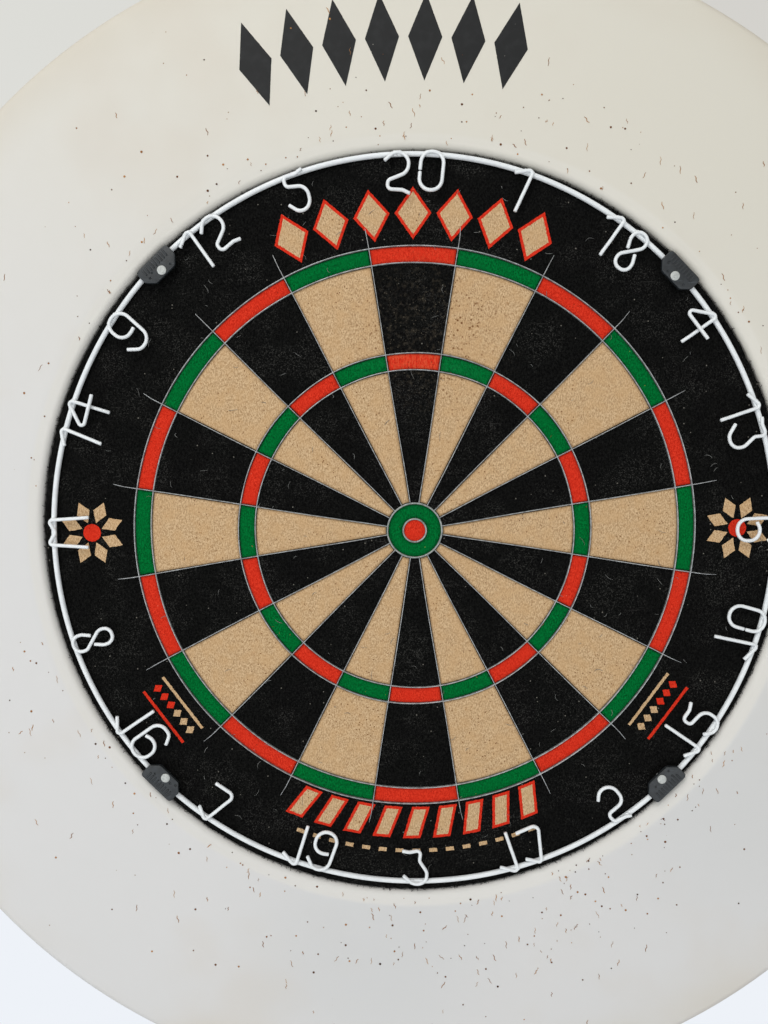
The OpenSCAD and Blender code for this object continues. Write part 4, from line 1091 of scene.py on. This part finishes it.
def front_height(r, a):
    """Height of the foam's front at a radius and angle"""
    depth = r - (BORE_R + 0.5)
    d = SURROUND_FRONT - FRONT_CROWN * ((r - CROWN_MIDDLE) / CROWN_REACH) ** 2
    d -= LIP_DROP * max(0.0, 1 - depth / LIP_W) ** 2.2
    d += 0.18 * grain(*polar(r, a), 70, 1.0) * ease(0, 30, depth) - 0.05
    low_sector = ease(205, 245, a) * (1 - ease(320, 345, a))
    lip_end = mix(8.0, 10.0, ease(290, 330, a))
    return d - 0.13 * low_sector * max(0.0, lip_end - depth)


def build_surround():
    front_rows = [BORE_R + 1.4 + LIP_ROUND + 0.7 * i for i in range(13)]
    while front_rows[-1] < SURROUND_R - OFF_MIDDLE - EDGE_ROUND - 8:
        front_rows.append(front_rows[-1] + 4.5)

    def outline(a):
        bore = BORE_R + 1.05 + 0.2 * cosd(a - 45)
        outer = SURROUND_R + OFF_MIDDLE * cosd(a - OFF_HEADING)
        rim = outer - EDGE_ROUND
        edge = front_height(bore + LIP_ROUND, a)
        high = front_height(rim, a)
        back_top = SURROUND_BACK + BACK_ROUND
        last = mix(front_rows[-1], rim, 0.5)
        points = [(bore + i, back_top - s) for i, s in fillet(BACK_ROUND, (90, 60, 30, 0))]
        points += [(bore, mix(back_top, edge - LIP_ROUND, t)) for t in (0.33, 0.66)]
        points += [(bore + i, edge - LIP_ROUND + s) for i, s in fillet(LIP_ROUND, range(0, 90, 12))]
        points += [(r, front_height(r, a)) for r in front_rows + [last]]
        points += [(rim + s, high - i) for i, s in fillet(EDGE_ROUND, range(0, 91, 10))]
        points += [(outer, mix(high - EDGE_ROUND, back_top, t)) for t in (0.5, 1.0)]
        points += [(outer - i, back_top - s) for i, s in fillet(BACK_ROUND, (30, 60, 90))]
        points += [(mix(outer - BACK_ROUND, bore + BACK_ROUND, t), SURROUND_BACK)
                   for t in (0.25, 0.5, 0.75)]
        return points
    shell = Shell()
    lathe(shell, outline, steps=420)
    piece = shell.piece("moulded_surround", "surround", "surround_foam", FOAM,
                        ["foam_surround"], 60)


def build_surround_print():
    shell = Shell()
    for a in on_arc(7, 5, 3.5):
        outline = ragged(turned(lozenge(*PRINTED_LOZENGE), a, (0, PRINT_ROW)), 0.1, 1.2)
        points = []
        for lift in (PRINT_LIFT, PRINT_SINK):
            for x, y in outline:
                angle = math.degrees(math.atan2(y, x))
                points.append((x, y, front_height(math.hypot(x, y), angle) + lift))
        shell.add(points, skin(2, len(outline), False))
    shell.piece("printed_lozenges", "surround", "surround_ink", INK, ["surround_print"])


# Fibres
FRINGE_STRANDS = 2400
# Number, and the ring that they lie in
LINT_STRANDS, LINT_RING = 150, (60, 216)
FIBRE_ENDS, ENDS_RING = 200, (20, 158)


def tapered(thick, count, end):
    """Radii along a fibre, thinner towards both ends"""
    return [thick / 2 * (end + (1 - end) * math.sin(math.pi * (i + end) / (count + 2 * end)))
            for i in range(count + 1)]


def strand(shell, x, y, d, heading, length, thick, dice, sides=4, rise=0.0):
    """One short fibre that lies on a surface, tapered at both ends"""
    count, curl = 4, 25.0
    path = []
    turn = dice.uniform(-curl, curl)
    for i in range(count + 1):
        path.append((x, y, d + rise * (i / count) ** 1.5))
        heading += turn + dice.uniform(-curl, curl) * 0.5
        x += cosd(heading) * length / count
        y += sind(heading) * length / count
    sweep(shell, path, tapered(thick, count, 0.35), sides)


def squiggle(shell, x, y, d, heading, length, thick, dice):
    """A dry fibre crinkled from side to side, pressed onto the foam"""
    count = max(3, round(length / 1.4))
    side = dice.choice((-1, 1))
    path = []
    for i in range(count + 1):
        across = side * (i % 2 - 0.5) * dice.uniform(0.1, 0.9)
        dx, dy = turn_xy(length * (i / count - 0.5), across, heading)
        path.append((x + dx, y + dy, d))
    sweep(shell, path, tapered(thick, count, 0.4), 4, flat=0.5)


def anywhere(dice, ring):
    """A radius drawn evenly over the area of a ring"""
    return math.sqrt(dice.uniform(ring[0] ** 2, ring[1] ** 2))


def build_rim_fringe():
    """Black fibre that stands out over the band's edge, ragged towards the foam"""
    dice = random.Random(5)
    shell = Shell()

    def outline(a):
        x, y = polar(100, a)
        out = BOARD_R + 0.35 + 0.45 * grain(x, y, 1.6, 3.0) + 0.3 * grain(x, y, 7.0, 6.0)
        high = FACE + 0.25 + 0.25 * grain(x, y, 2.1, 9.0)
        return [(DISC_R - 2.5, FACE - 1.2), (out - 0.8, FACE - 1.6), (out, FACE - 0.8),
                (out - 0.3, high - 0.3), (out - 1.3, high), (DISC_R - 1.6, FACE + 0.1)]
    lathe(shell, outline, steps=1440)
    for _ in range(FRINGE_STRANDS):
        a = dice.uniform(0, 360)
        r = dice.uniform(DISC_R - 2.4, BOARD_R - 0.2)
        heading = a + dice.gauss(0, 38)
        strand(shell, *polar(r, a), FACE + dice.uniform(-0.2, 0.4), heading, dice.uniform(1.2, 2.8),
               dice.uniform(0.2, 0.42), dice, sides=3, rise=dice.uniform(-0.3, 0.5))
    shell.piece("sisal_rim", "board", "sisal_black", SISAL_BLACK)


def build_stray_fibres():
    """Loose fibres on the face: light lint on the black, dark ends among the cream"""
    dice = random.Random(14)
    light, dark = Shell(), Shell()
    for _ in range(LINT_STRANDS):
        r = anywhere(dice, LINT_RING)
        a = dice.uniform(0, 360)
        strand(light, *polar(r, a), FACE + 0.25, dice.uniform(0, 360), dice.uniform(1.5, 6.0),
               dice.uniform(0.14, 0.28), dice, rise=dice.uniform(0, 0.4))
    for _ in range(FIBRE_ENDS):
        r = anywhere(dice, ENDS_RING)
        a = 90 - STEP * (2 * dice.randrange(10) + 1 + dice.uniform(-0.42, 0.42))
        strand(dark, *polar(r, a), FACE + 0.15, dice.uniform(0, 360), dice.uniform(0.8, 2.2),
               dice.uniform(0.14, 0.26), dice)
    light.piece("face_lint", "board", "sisal_cream", LINT)
    dark.piece("face_fibre_ends", "board", "sisal_cream", DRIED_FIBRE)


# Marks on the foam, near the board and further out: how many there are in each twelfth of the turn,
# from the right and up, the radius they start at, and their mean distance from there
MARKS = (([4, 20, 38, 38, 20, 7, 12, 26, 44, 60, 42, 8], 231, 14),
         ([6, 8, 10, 9, 8, 4, 4, 7, 28, 56, 12, 6], 262, 24))
TWELFTH = 30
MARKS_END = 338
FIBRE_SHARE, DIRT_SHARE = 0.45, 0.3


def build_foam_marks():
    """Fibres and specks of dirt on the foam, most of them under the board and just over it"""
    dice = random.Random(33)
    fibres, dirt = Shell(), Shell()
    places = []
    for i in range(12):
        for counts, start, mean in MARKS:
            for _ in range(counts[i]):
                places.append((TWELFTH * (i + dice.uniform(0, 1)),
                               start + dice.expovariate(1 / mean)))
    for a, r in places:
        if r > MARKS_END:
            continue
        x, y = polar(r, a)
        d = front_height(r, a % 360)
        kind = dice.random()
        if kind < FIBRE_SHARE:
            squiggle(fibres, x, y, d + 0.08, 90 + dice.gauss(0, 20), dice.uniform(1.6, 4.8),
                     dice.uniform(0.30, 0.56), dice)
        else:
            size = 0.28 + 0.5 * dice.random() ** 1.8
            rows = ((0, -0.1), (size * 0.9, -0.02), (size, 0.1), (size * 0.6, 0.25), (0, 0.3))
            knob(dirt if kind < FIBRE_SHARE + DIRT_SHARE else fibres,
                 [(radius, d + lift) for radius, lift in rows], 7, (x, y))
    fibres.piece("fibres_on_foam", "surround", "sisal_cream", DRIED_FIBRE)
    dirt.piece("specks_on_foam", "surround", "sisal_black", DARK_DIRT)


# Parts that keep their CAD shape
KEPT = {
    "wall_bracket": ZINC,
    "hanging_screw": ZINC,
    "wheel_screws": ZINC,
    "hanger_spacer": BLACK_PLASTIC,
    "backing_board": BACKING_WOOD,
    "steel_band": BAND_STEEL,
}
for side in ("top", "lower_left", "lower_right"):
    for part in ("wheel_holder_", "levelling_wheel_", "levelling_foot_"):
        KEPT[part + side] = BLACK_PLASTIC
KEPT_EDGE = 0.25


def finish_kept_parts():
    """Materials and softened edges"""
    for name, material in KEPT.items():
        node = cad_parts[name]
        node.data.materials.clear()
        node.data.materials.append(material)
        soften = node.modifiers.new("soft_edges", "BEVEL")
        soften.width = KEPT_EDGE * MM
        soften.segments = 2
        soften.limit_method = "ANGLE"
        soften.angle_limit = math.radians(40)
        soften.harden_normals = False


# Stage
FLOOR_Z = -1.73
FLOOR_R = 1.5
AMBIENT = 0.32
COOL_WHITE = (0.92, 0.97, 1.0)
# Each light's name, place, target, size, power and colour
LIGHTS = (
    ("window", (-0.55, -1.35, 1.35), (0, 0, 0), 1.3, 16.6, (1.0, 0.99, 0.97)),
    ("right_fill", (0.7, -1.6, -0.45), (0, 0, 0), 1.6, 8.0, COOL_WHITE),
    ("left_fill", (-1.1, -1.3, -0.3), (0, 0, 0), 1.6, 9.6, COOL_WHITE),
    ("back_light", (0.3, 2.0, 0.9), (0, 0, -0.3), 1.6, 22, (1.0, 1.0, 1.0)),
)


def add_floor():
    """A pale round floor, as far below the bull as a board is hung"""
    work = bmesh.new()
    bmesh.ops.create_circle(work, cap_ends=True, segments=96, radius=FLOOR_R)
    mesh = bpy.data.meshes.new("floor")
    work.to_mesh(mesh)
    work.free()
    floor = place_in_scene("floor", mesh)
    floor.location = (0, 0, FLOOR_Z)
    mesh.materials.append(matt("floor_paint", (232, 235, 240), (238, 240, 244), 300))


def add_light(name, place, target, size, power, colour):
    data = bpy.data.lights.new(name, "AREA")
    data.shape = "DISK"
    data.size = size
    data.energy = power
    data.color = colour
    light = place_in_scene(name, data)
    light.location = place
    light.rotation_euler = (Vector(target) - Vector(place)).to_track_quat("-Z", "Y").to_euler()
    light.visible_camera = False


def add_world():
    """Soft ambient light, and a pale room for what the camera and reflections see, with painted
    light and shade on its walls
    """
    world = bpy.data.worlds.new("room")
    world.use_nodes = True
    room = Fields(world.node_tree, "Generated")
    path = add_node(room.tree, "LightPath", {}).outputs
    seen = room.math("MAXIMUM", path["Is Camera Ray"], path["Is Glossy Ray"])
    seen = room.math("MAXIMUM", seen, path["Is Transmission Ray"])
    across, _, up = add_node(room.tree, "SeparateXYZ", {0: room.place}).outputs
    # Painted light and shade on the room: darker and warmer towards the upper right, brighter and
    # cooler below
    above = room.blend(room.ramp(across, -0.5, 0.5), (221, 221, 216), (211, 209, 204))
    walls = room.blend(room.ramp(up, -0.5, 0.5), (238, 242, 248), above)
    ambient = room.field("Background", {"Color": (1.0, 1.0, 1.0, 1.0), "Strength": AMBIENT})
    pale = room.field("Background", {"Color": walls, "Strength": 1.0})
    both = room.field("MixShader", {0: seen, 1: ambient, 2: pale})
    add_node(room.tree, "OutputWorld", {0: both})
    bpy.context.scene.world = world


def main():
    bpy.context.scene.view_settings.view_transform = "Standard"
    add_camera()
    add_world()
    add_floor()
    for light in LIGHTS:
        add_light(*light)
    build_sisal()
    build_ornaments()
    build_blades()
    build_number_ring()
    build_clips()
    build_pins()
    build_surround()
    build_surround_print()
    build_rim_fringe()
    build_stray_fibres()
    build_foam_marks()
    finish_kept_parts()


main()
